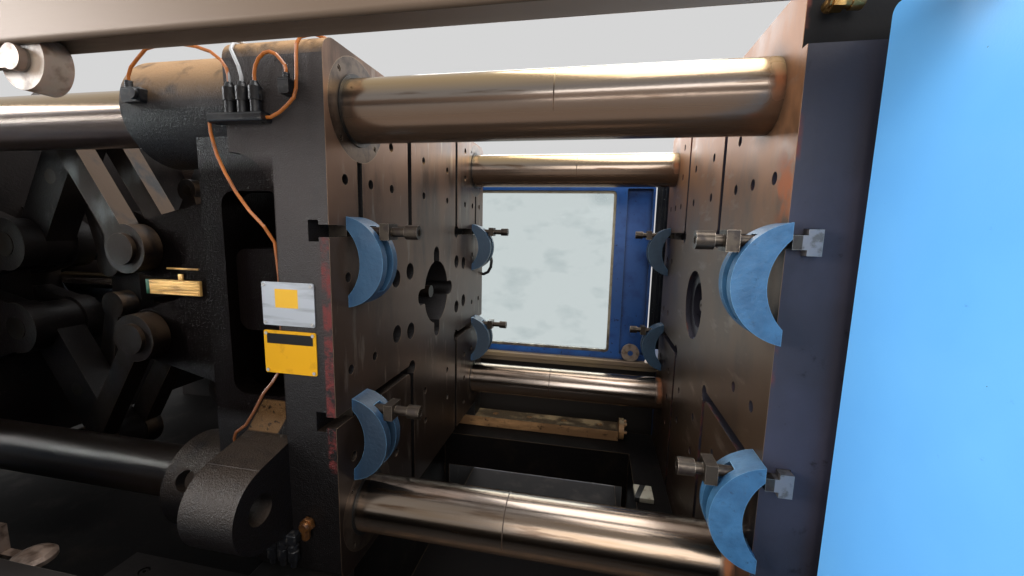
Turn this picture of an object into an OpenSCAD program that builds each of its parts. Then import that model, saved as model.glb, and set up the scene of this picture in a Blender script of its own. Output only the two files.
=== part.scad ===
// Injection moulding machine: four-bar toggle clamp, guarded mould area and
// reciprocating-screw injection unit on one welded bed.
// Local working frame: x from the moving platen's face, y from the centre
// plane, z from the middle of the four tie bars.

/* [Machine] */
// Height of the tie-bar centre above the floor
axis_h = 1250; // [1230:10:1300]
// Distance between tie-bar axes, both ways
bar_pitch = 890; // [884:2:898]
// Tie-bar diameter
bar_d = 128; // [122:1:132]
// Distance between the platen faces with the clamp open
daylight = 792; // [780:4:830]
// Length of the bed on the clamp side of the moving platen's face
bed_tail = 2350; // [2300:10:2450]
// Length of the bed on the injection side of the moving platen's face
bed_nose = 4250; // [4200:10:4400]
// Half of the overall width
half_w = 890; // [886:1:910]

/* [Platens] */
// Width of the moving platen outside each tie-bar axis
moving_side = 115; // [113:1:120]
// Width of the stationary platen outside each tie-bar axis
fixed_side = 125; // [120:1:130]
// Thickness of the moving platen's front plate
moving_t = 117; // [100:1:125]
// Thickness of the stationary platen
fixed_t = 300; // [280:5:320]
// Height of the moving platen over the upper tie bars' axes
moving_over = 111; // [109:1:120]
// Height of the stationary platen over the upper tie bars' axes
fixed_over = 133; // [120:1:140]
// Distance of the T-slots from the platen centre
slot_pos = 196; // [190:1:204]
// Width of a T-slot's neck
slot_neck = 24; // [20:1:26]
// Width of a T-slot's wide part
slot_wide = 42; // [38:1:46]
// Depth of a T-slot
slot_depth = 45; // [40:1:50]
// Diameter of a mould fixing hole
hole_d = 22; // [18:1:24]
// Radius of the locating ring's recess
locate_r = 100; // [80:1:110]
// Radius of the moving platen's centre bore
centre_r = 102; // [90:1:110]
// Outer radius of a sleeve round a tie bar
sleeve_r = 115; // [110:1:118]
// Length of a sleeve from the moving platen's face
sleeve_len = 470; // [440:5:500]

/* [Toggle] */
// Distance of the toggle pins on both platens from the centre height
pin_z = 130; // [125:1:135]
// Distance of the moving platen's toggle pins behind its face
ear_back = 800; // [790:5:810]
// Distance of the knuckle pins behind the moving platen's face
knuckle_back = 1030; // [1020:5:1040]
// Height of the knuckle pins above the bar centre
knuckle_z = 500; // [490:2:504]
// Distance of the tail platen's toggle pins behind the moving platen's face
tail_pin_back = 1250; // [1240:5:1260]
// Radius of a toggle pin
pin_r = 36; // [32:1:40]
// Thickness of one toggle link plate
link_t = 52; // [46:1:54]

/* [Mould clamps] */
// Outer radius of a mould clamp's arch
clamp_r = 96; // [92:1:100]
// Depth of a mould clamp from the platen face
clamp_depth = 80; // [74:1:84]
// Width of a mould clamp over both cheeks
clamp_w = 64; // [60:1:70]
// Width of the fork that takes the bolt
fork_w = 26; // [24:1:30]
// Radius of a clamp bolt
bolt_r = 10; // [8:1:11]

/* [Guards] */
// Underside of the gate rails above the bar centre
rail_z = 458; // [450:2:466]
// Radius of the front gate's upper rollers
roller_r = 42; // [36:1:46]
// Free gap between sliding gates and their rails
gate_gap = 3; // [2:1:5]

/* [Injection unit] */
// Outer radius of the barrel
barrel_r = 92; // [84:1:96]
// Radius of the screw
screw_r = 35; // [30:1:38]
// Radius of the hopper's rim
hopper_r = 250; // [220:5:280]

/* [Hidden] */
$fn = 64;
run_fit = 0.05;
slide_gap = 0.5;
side_gap = 3;
mid_x = (bed_nose - bed_tail) / 2;
floor_z = -axis_h;
foot_h = 120;
bar_at = bar_pitch / 2;
moving_w = bar_pitch + 2 * moving_side;
fixed_w = bar_pitch + 2 * fixed_side;
moving_top = bar_at + moving_over;
fixed_top = bar_at + fixed_over;
moving_bottom = -(bar_at + 122);
bed_z = moving_bottom - 133;
base_z = floor_z + 420;
way_z = bed_z + 45;
way_y1 = moving_w / 2 + 30;
way_y0 = way_y1 - 90;
way_y = (way_y0 + way_y1) / 2;
cover_z = -450;
cover_y = half_w - 50;
tunnel_lo = floor_z + 150;
tunnel_hi = floor_z + 400;
chute_x0 = -120;
chute_x1 = daylight - 112;
chute_y = 400;
fixed_bottom = bed_z;
lug_y = moving_w / 2 + 62;
bush_r = 104;
bush_body_r = 80;
tail_face = -(tail_pin_back + 150);
tail_t = 260;
tail_back = tail_face - tail_t;
nut_r = 105;
nut_len = 110;
bar_r = bar_d / 2;
ear_y0 = 206;
ear_y1 = 284;
link_gap = 3;
outer_y0 = ear_y1 + link_gap;
outer_y1 = outer_y0 + link_t;
inner_y1 = ear_y0 - link_gap;
inner_y0 = inner_y1 - link_t;
short_y1 = inner_y1;
short_y0 = inner_y0;
cross_w = 2 * (short_y0 - side_gap);
guide_y = 104;
guide_r = 22;
eye_r = 80;
knuckle_eye_r = 66;
cap_t = 12;
lever_frac = 0.56;
lever_x = -tail_pin_back + (tail_pin_back - knuckle_back) * lever_frac;
lever_z = pin_z + (knuckle_z - pin_z) * lever_frac;
cross_x = -1060;
cross_z = 70;
clamp_over = clamp_depth - clamp_r;
clamp_drop = 65;
clamp_inner_r = clamp_r + 4;
clamp_inner_x = clamp_depth - 52 - clamp_inner_r;
moving_front_y = 90 - moving_w / 2;
moving_rear_y = moving_w / 2 - 134;
fixed_front_y = 10 - fixed_w / 2;
fixed_rear_y = fixed_w / 2 - 70;
rear_rail_h = 60;
groove_h = 22.5;
roller_z = rail_z + groove_h - slide_gap - roller_r;
gate_y1 = cover_y - 5;
gate_y0 = gate_y1 - 33;
rail_y1 = gate_y0 - gate_gap;
rail_y0 = rail_y1 - 56;
front_edge = -560;
front_len = 1330;
guide_knob_r = 36;
guide_knob_y = cover_y - 62 - slide_gap - guide_knob_r;
near_roller_x = front_edge + 225;
far_roller_x = front_edge - front_len + 240;
gate_lo = -405;
gate_hi = 640;
rear_y1 = cover_y - 60;
rear_y0 = rear_y1 - 38;
rear_x0 = -700;
rear_x1 = 762;
rear_track_z = cover_z + 46;
rear_lo = rear_track_z + slide_gap;
rear_roller_r = 41;
rear_roller_z = rear_track_z + rear_roller_r + slide_gap;
rear_hi = rail_z - 22;
housing_x = daylight + 89;
housing_top = 513;
inj_x0 = daylight + fixed_t + 160;
inj_top = -450;
carriage_rail_h = 40;
plate_lo = inj_top + carriage_rail_h + slide_gap;
plate_hi = plate_lo + 60;
barrel_x0 = daylight + fixed_t - 92;
housing_in = 2460;
housing_out = 2900;
thrust_x = 3330;
cable_r = 3.2;
lid_pivot = hopper_r + 32;
hopper_x = 2600;
hopper_z = 230;
carriage_x0 = 2300;
carriage_x1 = carriage_x0 + 1560;
carriage_y = 400;
cylinder_y = 330;
cylinder_z = -20;

// Carries the local working frame into the part frame.
module at_machine() {
  translate([-mid_x, 0, axis_h]) children();
}

module box(lo, hi) {
  translate(lo) cube([hi[0] - lo[0], hi[1] - lo[1], hi[2] - lo[2]]);
}

module rod_x(x0, x1, r) {
  translate([x0, 0, 0]) rotate([0, 90, 0]) cylinder(h = x1 - x0, r = r);
}

module rod_y(y0, y1, r) {
  translate([0, y1, 0]) rotate([90, 0, 0]) cylinder(h = y1 - y0, r = r);
}

// Draws a (y, z) outline and carries it from x0 to x1.
module along_x(x0, x1) {
  translate([x0, 0, 0]) rotate([90, 0, 90]) linear_extrude(x1 - x0) children();
}

// Draws an (x, z) outline and carries it from y0 to y1.
module along_y(y0, y1) {
  translate([0, y1, 0]) rotate([90, 0, 0]) linear_extrude(y1 - y0) children();
}

module round_rect(u0, u1, v0, v1, r) {
  translate([u0 + r, v0]) square([u1 - u0 - 2 * r, v1 - v0]);
  translate([u0, v0 + r]) square([u1 - u0, v1 - v0 - 2 * r]);
  for (u = [u0 + r, u1 - r], v = [v0 + r, v1 - r]) translate([u, v]) circle(r);
}

module at_bars() {
  for (sy = [-1, 1], sz = [-1, 1]) {
    translate([0, sy * bar_at, sz * bar_at]) children();
  }
}

module both_sides() {
  children();
  mirror([0, 1, 0]) children();
}

module both_heights() {
  children();
  mirror([0, 0, 1]) children();
}

// The mould fixing pattern: holes on a 100 mm grid round the centre.
module mould_holes(depth) {
  for (sy = [-1, 1], sz = [-1, 1], p = [[500, 300], [400, 300], [300, 300], [100, 300],
      [300, 400], [100, 400], [300, 500], [500, 100], [400, 100]]) {
    translate([0, sy * p[0], sz * p[1]]) rod_x(0, depth, hole_d / 2);
  }
}

// One T-slot cut, along z from z0 to z1, into a face at x = 0.
module slot_z(y, z0, z1) {
  box([-1, y - slot_neck / 2, z0], [slot_depth / 2 + 1, y + slot_neck / 2, z1]);
  box([slot_depth / 2, y - slot_wide / 2, z0], [slot_depth, y + slot_wide / 2, z1]);
}

module slot_y(z, y0, y1) {
  box([-1, y0, z - slot_neck / 2], [slot_depth / 2 + 1, y1, z + slot_neck / 2]);
  box([slot_depth / 2, y0, z - slot_wide / 2], [slot_depth, y1, z + slot_wide / 2]);
}

// Four corner pairs of T-slots, open at the platen's edges.
module t_slots(edge_y, edge_lo, edge_hi) {
  for (sy = [-1, 1]) {
    slot_z(sy * slot_pos, slot_pos, edge_hi);
    slot_z(sy * slot_pos, edge_lo, -slot_pos);
    translate([0, sy * slot_pos, slot_pos]) rod_x(-1, slot_depth, slot_wide / 2 + 2);
    translate([0, sy * slot_pos, -slot_pos]) rod_x(-1, slot_depth, slot_wide / 2 + 2);
  }
  for (sz = [-1, 1]) {
    slot_y(sz * slot_pos, -edge_y, -slot_pos);
    slot_y(sz * slot_pos, slot_pos, edge_y);
  }
}

module bed_frame() {
  color([0.20, 0.25, 0.30]) at_machine() difference() {
    union() {
      box([-bed_tail, -cover_y + 40, floor_z + foot_h], [bed_nose, cover_y - 40, base_z]);
      box([-bed_tail + 420, -fixed_w / 2 - 24, base_z - 1], [daylight + fixed_t + 60, fixed_w / 2 + 24, bed_z]);
      box([inj_x0 - 60, -450, base_z - 1], [bed_nose - 80, 450, inj_top]);
    }
    box([chute_x0, -chute_y, tunnel_lo], [chute_x1, chute_y, bed_z + 1]);
    box([chute_x0 + 20, -half_w, tunnel_lo], [chute_x1 - 20, half_w, tunnel_hi]);
    for (y = [-1, 1]) {
      translate([inj_x0 + 300, y * 440, (base_z + inj_top) / 2]) {
        for (i = [0:3]) {
          translate([i * 620, 0, 0]) rod_y(-40, 40, 70);
        }
      }
    }
  }
}

module levelling_feet() {
  color([0.32, 0.33, 0.34]) at_machine() {
    for (x = [-bed_tail + 150, -1350, -400, 1000, 2000, 3100, bed_nose - 150], y = [-1, 1]) {
      translate([x, y * (cover_y - 150), floor_z]) {
        cylinder(h = 34, r = 75);
        translate([0, 0, 33]) cylinder(h = foot_h - 33, r = 22);
        translate([0, 0, foot_h - 30]) cylinder(h = 22, r = 34, $fn = 6);
      }
    }
  }
}

module cover_panel(x1) {
  difference() {
    box([-1950, -cover_y, floor_z + 160], [x1, -cover_y + 40, cover_z]);
    box([chute_x0 + 20, -cover_y - 1, floor_z + 100], [chute_x1 - 20, -cover_y + 60, tunnel_hi]);
    for (x = [-1700, -1250, -800]) {
      for (i = [0:5]) {
        box([x, -cover_y - 1, cover_z - 190 - i * 40], [x + 260, -cover_y + 41, cover_z - 176 - i * 40]);
      }
    }
  }
}

module lower_covers() {
  color([0.22, 0.45, 0.68]) at_machine() {
    cover_panel(housing_x - 1);
    mirror([0, 1, 0]) cover_panel(daylight + 29);
  }
}

module guide_ways() {
  color([0.62, 0.55, 0.42]) at_machine() both_sides() {
    difference() {
      box([-640, -way_y1, bed_z], [640, -way_y0, way_z]);
      for (x = [-560:160:560]) {
        translate([x, -way_y, way_z - 14]) cylinder(h = 20, r = 13);
      }
    }
    for (x = [-560:160:560]) {
      translate([x, -way_y, way_z - 14]) difference() {
        cylinder(h = 12, r = 10);
        translate([0, 0, 5]) cylinder(h = 12, r = 5, $fn = 6);
      }
    }
    difference() {
      translate([0, -way_y, bed_z + 38]) rod_x(643, 664, 46);
      box([640, -way_y - 55, bed_z - 30], [670, -way_y + 55, bed_z]);
    }
    translate([0, -way_y, bed_z + 38]) {
      for (a = [0:60:180]) {
        translate([0, 34 * cos(a), 34 * sin(a)]) rod_x(664, 676, 7);
      }
    }
  }
}

module stationary_platen() {
  color([0.42, 0.38, 0.34]) at_machine() translate([daylight, 0, 0]) difference() {
    union() {
      along_x(0, fixed_t) difference() {
        round_rect(-fixed_w / 2, fixed_w / 2, fixed_bottom - 40, fixed_top, 40);
        for (s = [-1, 1]) {
          translate([s * (fixed_w / 2 + 2) - 20, 482]) square([40, 200]);
        }
        translate([-fixed_w / 2 - 1, fixed_bottom - 41]) square([fixed_w + 2, 41]);
      }
      along_x(fixed_t - 1, fixed_t + 40) circle(r = 300);
      box([40, -fixed_w / 2 - 20, fixed_bottom], [fixed_t + 60, fixed_w / 2 + 20, fixed_bottom + 70]);
    }
    at_bars() rod_x(-1, fixed_t + 1, bar_r + run_fit);
    at_bars() rod_x(fixed_t - 30, fixed_t + 1, nut_r + 10);
    rod_x(-1, 15, locate_r);
    rod_x(0, fixed_t + 50, 65);
    rod_x(60, fixed_t + 50, 170);
    translate([-1, 0, 0]) mould_holes(46);
    t_slots(fixed_w / 2 + 40, fixed_bottom, fixed_top + 1);
    for (x = [fixed_t + 30], y = [-480, -200, 200, 480]) {
      translate([x, y, fixed_bottom - 1]) cylinder(h = 80, r = 14);
    }
  }
}

module tie_bars() {
  color([0.72, 0.71, 0.69]) at_machine() at_bars() {
    rod_x(tail_back - 150, daylight + fixed_t + 70, bar_r);
  }
}

// Round nut with two flats for a spanner, along +x from x = 0.
module bar_nut() {
  difference() {
    rod_x(0, nut_len, nut_r);
    rod_x(-1, nut_len + 1, bar_r + run_fit);
    for (a = [0:60:300]) {
      rotate([a, 0, 0]) translate([0, 0, nut_r - 9]) box([30, -9, 0], [nut_len + 1, 9, 20]);
    }
  }
}

module front_bar_nuts() {
  color([0.35, 0.35, 0.36]) at_machine() at_bars() {
    translate([daylight + fixed_t - 30, 0, 0]) bar_nut();
  }
}

// Arched clamp with a forked heel; its feet stand on the plane x = 0.
module clamp_arch() {
  difference() {
    along_y(-clamp_w / 2, clamp_w / 2) translate([0, -clamp_drop]) difference() {
      translate([clamp_over, 0]) circle(r = clamp_r);
      translate([clamp_inner_x, 0]) circle(r = clamp_inner_r);
      translate([-2 * clamp_r - 50, -2 * clamp_r]) square([2 * clamp_r + 50, 4 * clamp_r]);
    }
    box([-1, -fork_w / 2, -clamp_drop - 62], [clamp_depth + 5, fork_w / 2, bolt_r + 2]);
  }
}

module clamp_boss() {
  difference() {
    box([clamp_depth - 12, -fork_w / 2 - 8, -17], [clamp_depth + 8, fork_w / 2 + 8, 17]);
    rod_x(0, clamp_depth + 20, bolt_r);
  }
}

// Stud with a socket head, block and T-nut; head_x is the head's inner face.
module clamp_fasteners(head_x) {
  difference() {
    union() {
      rod_x(-slot_depth + 3, head_x + 1, bolt_r);
      rod_x(head_x, head_x + 28, 1.5 * bolt_r);
    }
    rod_x(head_x + 16, head_x + 30, 0.8 * bolt_r, $fn = 6);
  }
  clamp_boss();
  difference() {
    union() {
      box([-slot_depth + 2, -28, -slot_wide / 2 + 1], [-slot_depth / 2, 28, slot_wide / 2 - 1]);
      box([-slot_depth / 2 - 1, -28, -slot_neck / 2 + 1], [-2, 28, slot_neck / 2 - 1]);
    }
    rod_x(-slot_depth, 0, bolt_r);
  }
}

module at_moving_clamps() {
  for (y = [moving_front_y, moving_rear_y], z = [slot_pos, -slot_pos]) {
    translate([0, y, z]) children();
  }
}

module at_fixed_clamps() {
  for (y = [fixed_front_y, fixed_rear_y], z = [slot_pos, -slot_pos]) {
    translate([daylight, y, z]) mirror([1, 0, 0]) children();
  }
}

module fixed_clamps() {
  color([0.35, 0.62, 0.78]) at_machine() at_fixed_clamps() clamp_arch();
}

module fixed_clamp_bolts() {
  color([0.33, 0.31, 0.29]) at_machine() at_fixed_clamps() clamp_fasteners(102);
}

module gate_rails() {
  color([0.56, 0.53, 0.48]) at_machine() {
    difference() {
      along_x(-1960, housing_x) round_rect(-rail_y1, -rail_y0, rail_z, rail_z + 90, 8);
      box([-1900, -rail_y1 + 9, rail_z - 1], [housing_x + 1, -rail_y0 - 6, rail_z + groove_h]);
    }
    box([-1960, -rail_y1, cover_z + 1], [-1900, -rail_y0, rail_z + 9]);
    box([-1955, -cover_y + 2, cover_z], [housing_x - 2, -cover_y + 62, cover_z + 24]);
    along_x(rear_x0 - 700, daylight + 29) {
      round_rect(rear_y0 - 6, rear_y1 + 20, rail_z - 18, rail_z - 18 + rear_rail_h, 10);
    }
    box([rear_x0 - 700, rear_y0 - 6, cover_z + 1], [rear_x0 - 650, rear_y1 + 20, rail_z - 17]);
    box([rear_x0 - 700, cover_y - 110, cover_z], [daylight + 29, cover_y - 2, cover_z + 24]);
    along_x(rear_x0 - 640, daylight + 29) {
      round_rect(rear_y0 - 26, rear_y0 + 20, cover_z + 20, rear_track_z, 5);
    }
  }
}

module housing_box(x0, x1, lo, hi) {
  along_x(x0, x1) round_rect(lo, hi, base_z, housing_top, 12);
}

module front_housing() {
  color([0.30, 0.62, 0.88]) at_machine() difference() {
    housing_box(housing_x, housing_x + 760, -half_w, -fixed_w / 2 - 25);
    box([housing_x + 180, -half_w - 1, -120], [housing_x + 620, -half_w + 60, 420]);
  }
}

module rear_housing() {
  color([0.16, 0.35, 0.58]) at_machine() difference() {
    housing_box(daylight + 30, housing_x + 760, fixed_w / 2 + 25, half_w);
    for (i = [0:7]) {
      box([housing_x + 300, half_w - 40, -250 - i * 40], [housing_x + 700, half_w + 1, -236 - i * 40]);
    }
  }
}

module control_panel() {
  color([0.74, 0.75, 0.76]) at_machine() difference() {
    box([housing_x + 182, -half_w + 8, -118], [housing_x + 618, -half_w + 60, 418]);
    box([housing_x + 230, -half_w, 90], [housing_x + 570, -half_w + 12, 360]);
    for (i = [0:5], j = [0:2]) {
      translate([housing_x + 245 + i * 62, -half_w + 8, -20 - j * 40]) rod_y(-2, 4, 12);
    }
  }
}

module carriage_rails() {
  color([0.68, 0.68, 0.67]) at_machine() both_sides() {
    box([inj_x0, -330, inj_top], [bed_nose - 150, -270, inj_top + carriage_rail_h]);
  }
}

module carriage_rods() {
  color([0.75, 0.75, 0.76]) at_machine() both_sides() translate([0, -cylinder_y, cylinder_z]) {
    rod_x(daylight + fixed_t, carriage_x0, 22);
  }
}

module tail_platen() {
  color([0.16, 0.17, 0.18]) at_machine() difference() {
    union() {
      along_x(tail_back, tail_face) round_rect(-moving_w / 2, moving_w / 2, moving_bottom, moving_top, 60);
      both_sides() {
        box([tail_back + 30, -way_y1 - 10, bed_z + slide_gap], [tail_face - 30, -way_y0 + 20, moving_bottom + 70]);
        both_heights() {
          for (y = [[outer_y0, outer_y1], [inner_y0, inner_y1]]) {
            along_y(-y[1], -y[0]) {
              translate([-tail_pin_back, pin_z]) circle(r = eye_r);
              polygon([[tail_face - 1, pin_z + 120], [tail_face - 1, 20], [-tail_pin_back - 20, 52],
                [-tail_pin_back - 20, pin_z + 77]]);
            }
          }
        }
      }
    }
    at_bars() rod_x(tail_back - 1, tail_face + 1, bar_r + run_fit);
    both_sides() both_heights() translate([-tail_pin_back, 0, pin_z]) rod_y(-400, -100, pin_r);
    rod_x(tail_back - 1, tail_face + 1, 120);
    both_sides() both_heights() along_x(tail_back - 1, tail_back + 170) {
      round_rect(-360, -160, 180, 420, 40);
    }
  }
}

module tail_bar_nuts() {
  color([0.35, 0.35, 0.36]) at_machine() at_bars() translate([tail_back, 0, 0]) mirror([1, 0, 0]) bar_nut();
}

module tail_pins() {
  color([0.60, 0.59, 0.57]) at_machine() both_sides() both_heights() {
    translate([-tail_pin_back, 0, pin_z]) rod_y(-outer_y1 - 2, -inner_y0 + 2, pin_r);
  }
}

module clamp_cylinder() {
  color([0.20, 0.22, 0.24]) at_machine() difference() {
    union() {
      rod_x(tail_back - 560, tail_face - 40, 120 - run_fit);
      rod_x(tail_back - 24, tail_back, 190);
      rod_x(tail_back - 600, tail_back - 550, 150);
      translate([tail_back - 480, 0, 118]) cylinder(h = 60, r = 30);
      translate([tail_back - 120, 0, 118]) cylinder(h = 60, r = 30);
    }
    rod_x(tail_back - 540, tail_face - 39, 95);
    rod_x(tail_back - 541, tail_back - 530, 60);
  }
}

module crosshead_guides() {
  color([0.70, 0.70, 0.70]) at_machine() both_sides() {
    translate([0, -guide_y, 0]) rod_x(tail_face, -640, guide_r);
  }
}

module crosshead() {
  color([0.24, 0.25, 0.26]) at_machine() {
    difference() {
      union() {
        box([cross_x - 70, -cross_w / 2, -55], [cross_x + 50, cross_w / 2, 55]);
        both_sides() both_heights() along_y(-cross_w / 2, -cross_w / 2 + 42) {
          translate([cross_x, cross_z]) circle(r = 46);
          translate([cross_x - 46, 0]) square([92, cross_z]);
        }
      }
      both_sides() translate([0, -guide_y, 0]) rod_x(cross_x - 80, cross_x + 60, guide_r + run_fit);
      both_sides() both_heights() translate([cross_x, 0, cross_z]) rod_y(-cross_w / 2 - 1, -cross_w / 2 + 43, 20);
      rod_x(cross_x - 80, cross_x - 30, 55);
    }
    rod_x(tail_back - 460, cross_x - 30, 55);
    rod_x(tail_back - 520, tail_back - 461, 95 - run_fit);
  }
}

// A link bar between two eyes in the (x, z) plane.
module link_shape(ax, az, bx, bz, ra, rb, w) {
  len = sqrt((bx - ax) * (bx - ax) + (bz - az) * (bz - az));
  ang = atan2(bz - az, bx - ax);
  translate([ax, az]) circle(r = ra);
  translate([bx, bz]) circle(r = rb);
  translate([ax, az]) rotate(ang) translate([0, -w / 2]) square([len, w]);
}

module rear_links() {
  both_sides() difference() {
    along_y(-ear_y1, -ear_y0) {
      link_shape(-tail_pin_back, pin_z, -knuckle_back, knuckle_z, eye_r - 8, knuckle_eye_r, 112);
    }
    translate([-tail_pin_back, 0, pin_z]) rod_y(-ear_y1 - 1, -ear_y0 + 1, pin_r + run_fit);
    translate([-knuckle_back, 0, knuckle_z]) rod_y(-ear_y1 - 1, -ear_y0 + 1, pin_r);
    translate([lever_x, 0, lever_z]) rod_y(-ear_y1 - 1, -ear_y0 + 1, 22);
  }
}

module rear_links_upper() {
  color([0.30, 0.29, 0.28]) at_machine() rear_links();
}

module rear_links_lower() {
  color([0.30, 0.29, 0.28]) at_machine() mirror([0, 0, 1]) rear_links();
}

module knuckle_pins() {
  both_sides() {
    translate([-knuckle_back, 0, knuckle_z]) rod_y(-outer_y1 - 2, -inner_y0 + 2, pin_r);
    translate([lever_x, 0, lever_z]) rod_y(-ear_y1, -short_y0 + 1, 22);
  }
}

module knuckle_pins_upper() {
  color([0.60, 0.59, 0.57]) at_machine() knuckle_pins();
}

module knuckle_pins_lower() {
  color([0.60, 0.59, 0.57]) at_machine() mirror([0, 0, 1]) knuckle_pins();
}

module front_links() {
  both_sides() for (y = [[outer_y0, outer_y1], [inner_y0, inner_y1]]) {
    difference() {
      along_y(-y[1], -y[0]) {
        link_shape(-knuckle_back, knuckle_z, -ear_back, pin_z, knuckle_eye_r, 70, 62);
      }
      translate([-knuckle_back, 0, knuckle_z]) rod_y(-y[1] - 1, -y[0] + 1, pin_r + run_fit);
    }
  }
  both_sides() translate([-ear_back, 0, pin_z]) rod_y(-outer_y1 - cap_t, -outer_y1, pin_r + 8);
}

module front_links_upper() {
  color([0.55, 0.47, 0.38]) at_machine() front_links();
}

module front_links_lower() {
  color([0.55, 0.47, 0.38]) at_machine() mirror([0, 0, 1]) front_links();
}

module short_links() {
  both_sides() difference() {
    along_y(-short_y1, -short_y0) link_shape(lever_x, lever_z, cross_x, cross_z, 44, 44, 56);
    translate([lever_x, 0, lever_z]) rod_y(-short_y1 - 1, -short_y0 + 1, 22 + run_fit);
  }
}

module short_links_upper() {
  color([0.45, 0.42, 0.38]) at_machine() short_links();
}

module short_links_lower() {
  color([0.45, 0.42, 0.38]) at_machine() mirror([0, 0, 1]) short_links();
}

module platen_lug() {
  along_x(-235, -115) difference() {
    union() {
      polygon([[122 - lug_y, -235], [62 - lug_y, -252], [-lug_y - 18, -268], [-lug_y - 83, -352],
        [-lug_y + 2, -440], [122 - lug_y, -500]]);
      translate([-lug_y, -355]) circle(r = 88);
    }
    translate([-lug_y - 21, -349]) circle(r = 30);
  }
}

module moving_platen() {
  color([0.22, 0.22, 0.23]) at_machine() difference() {
    union() {
      along_x(-moving_t, 0) round_rect(-moving_w / 2, moving_w / 2, moving_bottom, moving_top, 36);
      along_x(-310, -260) round_rect(-540, 540, -500, 500, 60);
      at_bars() rod_x(-sleeve_len, -moving_t + 1, sleeve_r);
      both_sides() {
        difference() {
          along_x(-215, -moving_t + 1) round_rect(-moving_w / 2, -330, 254, moving_top, 36);
          along_y(-moving_w / 2 - 1, -329) translate([-212, 254]) circle(r = 209 - moving_t);
        }
        along_x(-215, -moving_t + 1) round_rect(-moving_w / 2, -330, moving_bottom, -300, 36);
        along_y(-540, -490) difference() {
          translate([-310, -400]) square([310 - moving_t + 10, 800]);
          round_rect(-260, -moving_t - 2, -161, 273, 30);
        }
        along_y(-520, -250) round_rect(-253, -moving_t + 20, -23, 154, 26);
        along_y(-ear_y1, -ear_y0) {
          polygon([[-moving_t - 10, 330], [-300, 330], [-ear_back - 30, pin_z + 74],
            [-ear_back, pin_z], [-ear_back - 30, pin_z - 74], [-ear_back + 160, 0],
            [-ear_back - 30, -pin_z + 74], [-ear_back, -pin_z], [-ear_back - 30, -pin_z - 74],
            [-300, -330], [-moving_t - 10, -330]]);
          translate([-ear_back, pin_z]) circle(r = eye_r);
          translate([-ear_back, -pin_z]) circle(r = eye_r);
        }
      }
      platen_lug();
    }
    both_sides() both_heights() translate([-ear_back, 0, pin_z]) rod_y(-400, -100, pin_r);
    at_bars() rod_x(-sleeve_len - 1, 1, 72);
    at_bars() rod_x(-12, 1, bush_r);
    at_bars() rod_x(-150, 1, bush_body_r);
    at_bars() rod_x(-sleeve_len - 1, -sleeve_len + 80, bush_body_r);
    for (sy = [-1, 1]) {
      box([-8, sy * bar_at - 10, bar_at - bush_r - 130], [1, sy * bar_at + 10, bar_at]);
    }
    rod_x(-320, 1, centre_r);
    for (a = [0:90:270]) {
      rotate([a, 0, 0]) {
        box([-moving_t - 1, -24, 0], [1, 24, centre_r + 22]);
        translate([0, 0, centre_r + 22]) rod_x(-moving_t - 1, 1, 24);
      }
    }
    along_x(-311, -259) round_rect(-190, 190, -180, 180, 40);
    for (sy = [-1, 1], sz = [-1, 1]) {
      for (p = [[284, 74], [200, 85]]) {
        translate([0, sy * p[0], sz * p[1]]) rod_x(-312, 1, 24);
      }
    }
    mirror([1, 0, 0]) translate([-1, 0, 0]) mould_holes(46);
    mirror([1, 0, 0]) t_slots(moving_w / 2 + 1, moving_bottom - 1, moving_top + 1);
    translate([-410, -bar_at, -bar_at]) rotate([-28, 0, 0]) rod_y(-140, -90, 24);
  }
}

module platen_bushes() {
  color([0.48, 0.44, 0.38]) at_machine() at_bars() {
    difference() {
      union() {
        rod_x(-12, 0, bush_r);
        rod_x(-150, -11, bush_body_r);
      }
      rod_x(-151, 1, bar_r + run_fit);
      rod_x(-12, 1, bar_r + 8);
      for (a = [45, 135, 225, 315]) {
        rotate([a, 0, 0]) translate([0, 0, 92]) rod_x(-9, 1, 6.5);
      }
    }
    for (a = [45, 135, 225, 315]) {
      rotate([a, 0, 0]) translate([0, 0, 92]) difference() {
        rod_x(-9, -1, 6);
        rod_x(-4, 0, 3, $fn = 6);
      }
    }
    difference() {
      rod_x(-sleeve_len, -sleeve_len + 80, bush_body_r);
      rod_x(-sleeve_len - 1, -sleeve_len + 81, bar_r + run_fit);
    }
  }
}

module bar_seals() {
  color([0.07, 0.07, 0.07]) at_machine() at_bars() difference() {
    rod_x(-12, 2, bar_r + 8);
    rod_x(-13, 3, bar_r + run_fit);
  }
}

module moving_clamps() {
  color([0.35, 0.62, 0.78]) at_machine() at_moving_clamps() clamp_arch();
}

module moving_clamp_bolts() {
  color([0.33, 0.31, 0.29]) at_machine() at_moving_clamps() clamp_fasteners(118);
}

module slide_shoes() {
  color([0.25, 0.26, 0.27]) at_machine() both_sides() difference() {
    box([-215, -way_y1 + 2, way_z + slide_gap], [-10, -way_y0, moving_bottom]);
    for (x = [-180, -45]) {
      translate([x, -way_y1 + 2, way_z + 50]) rod_y(-1, 16, 12);
    }
  }
}

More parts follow.
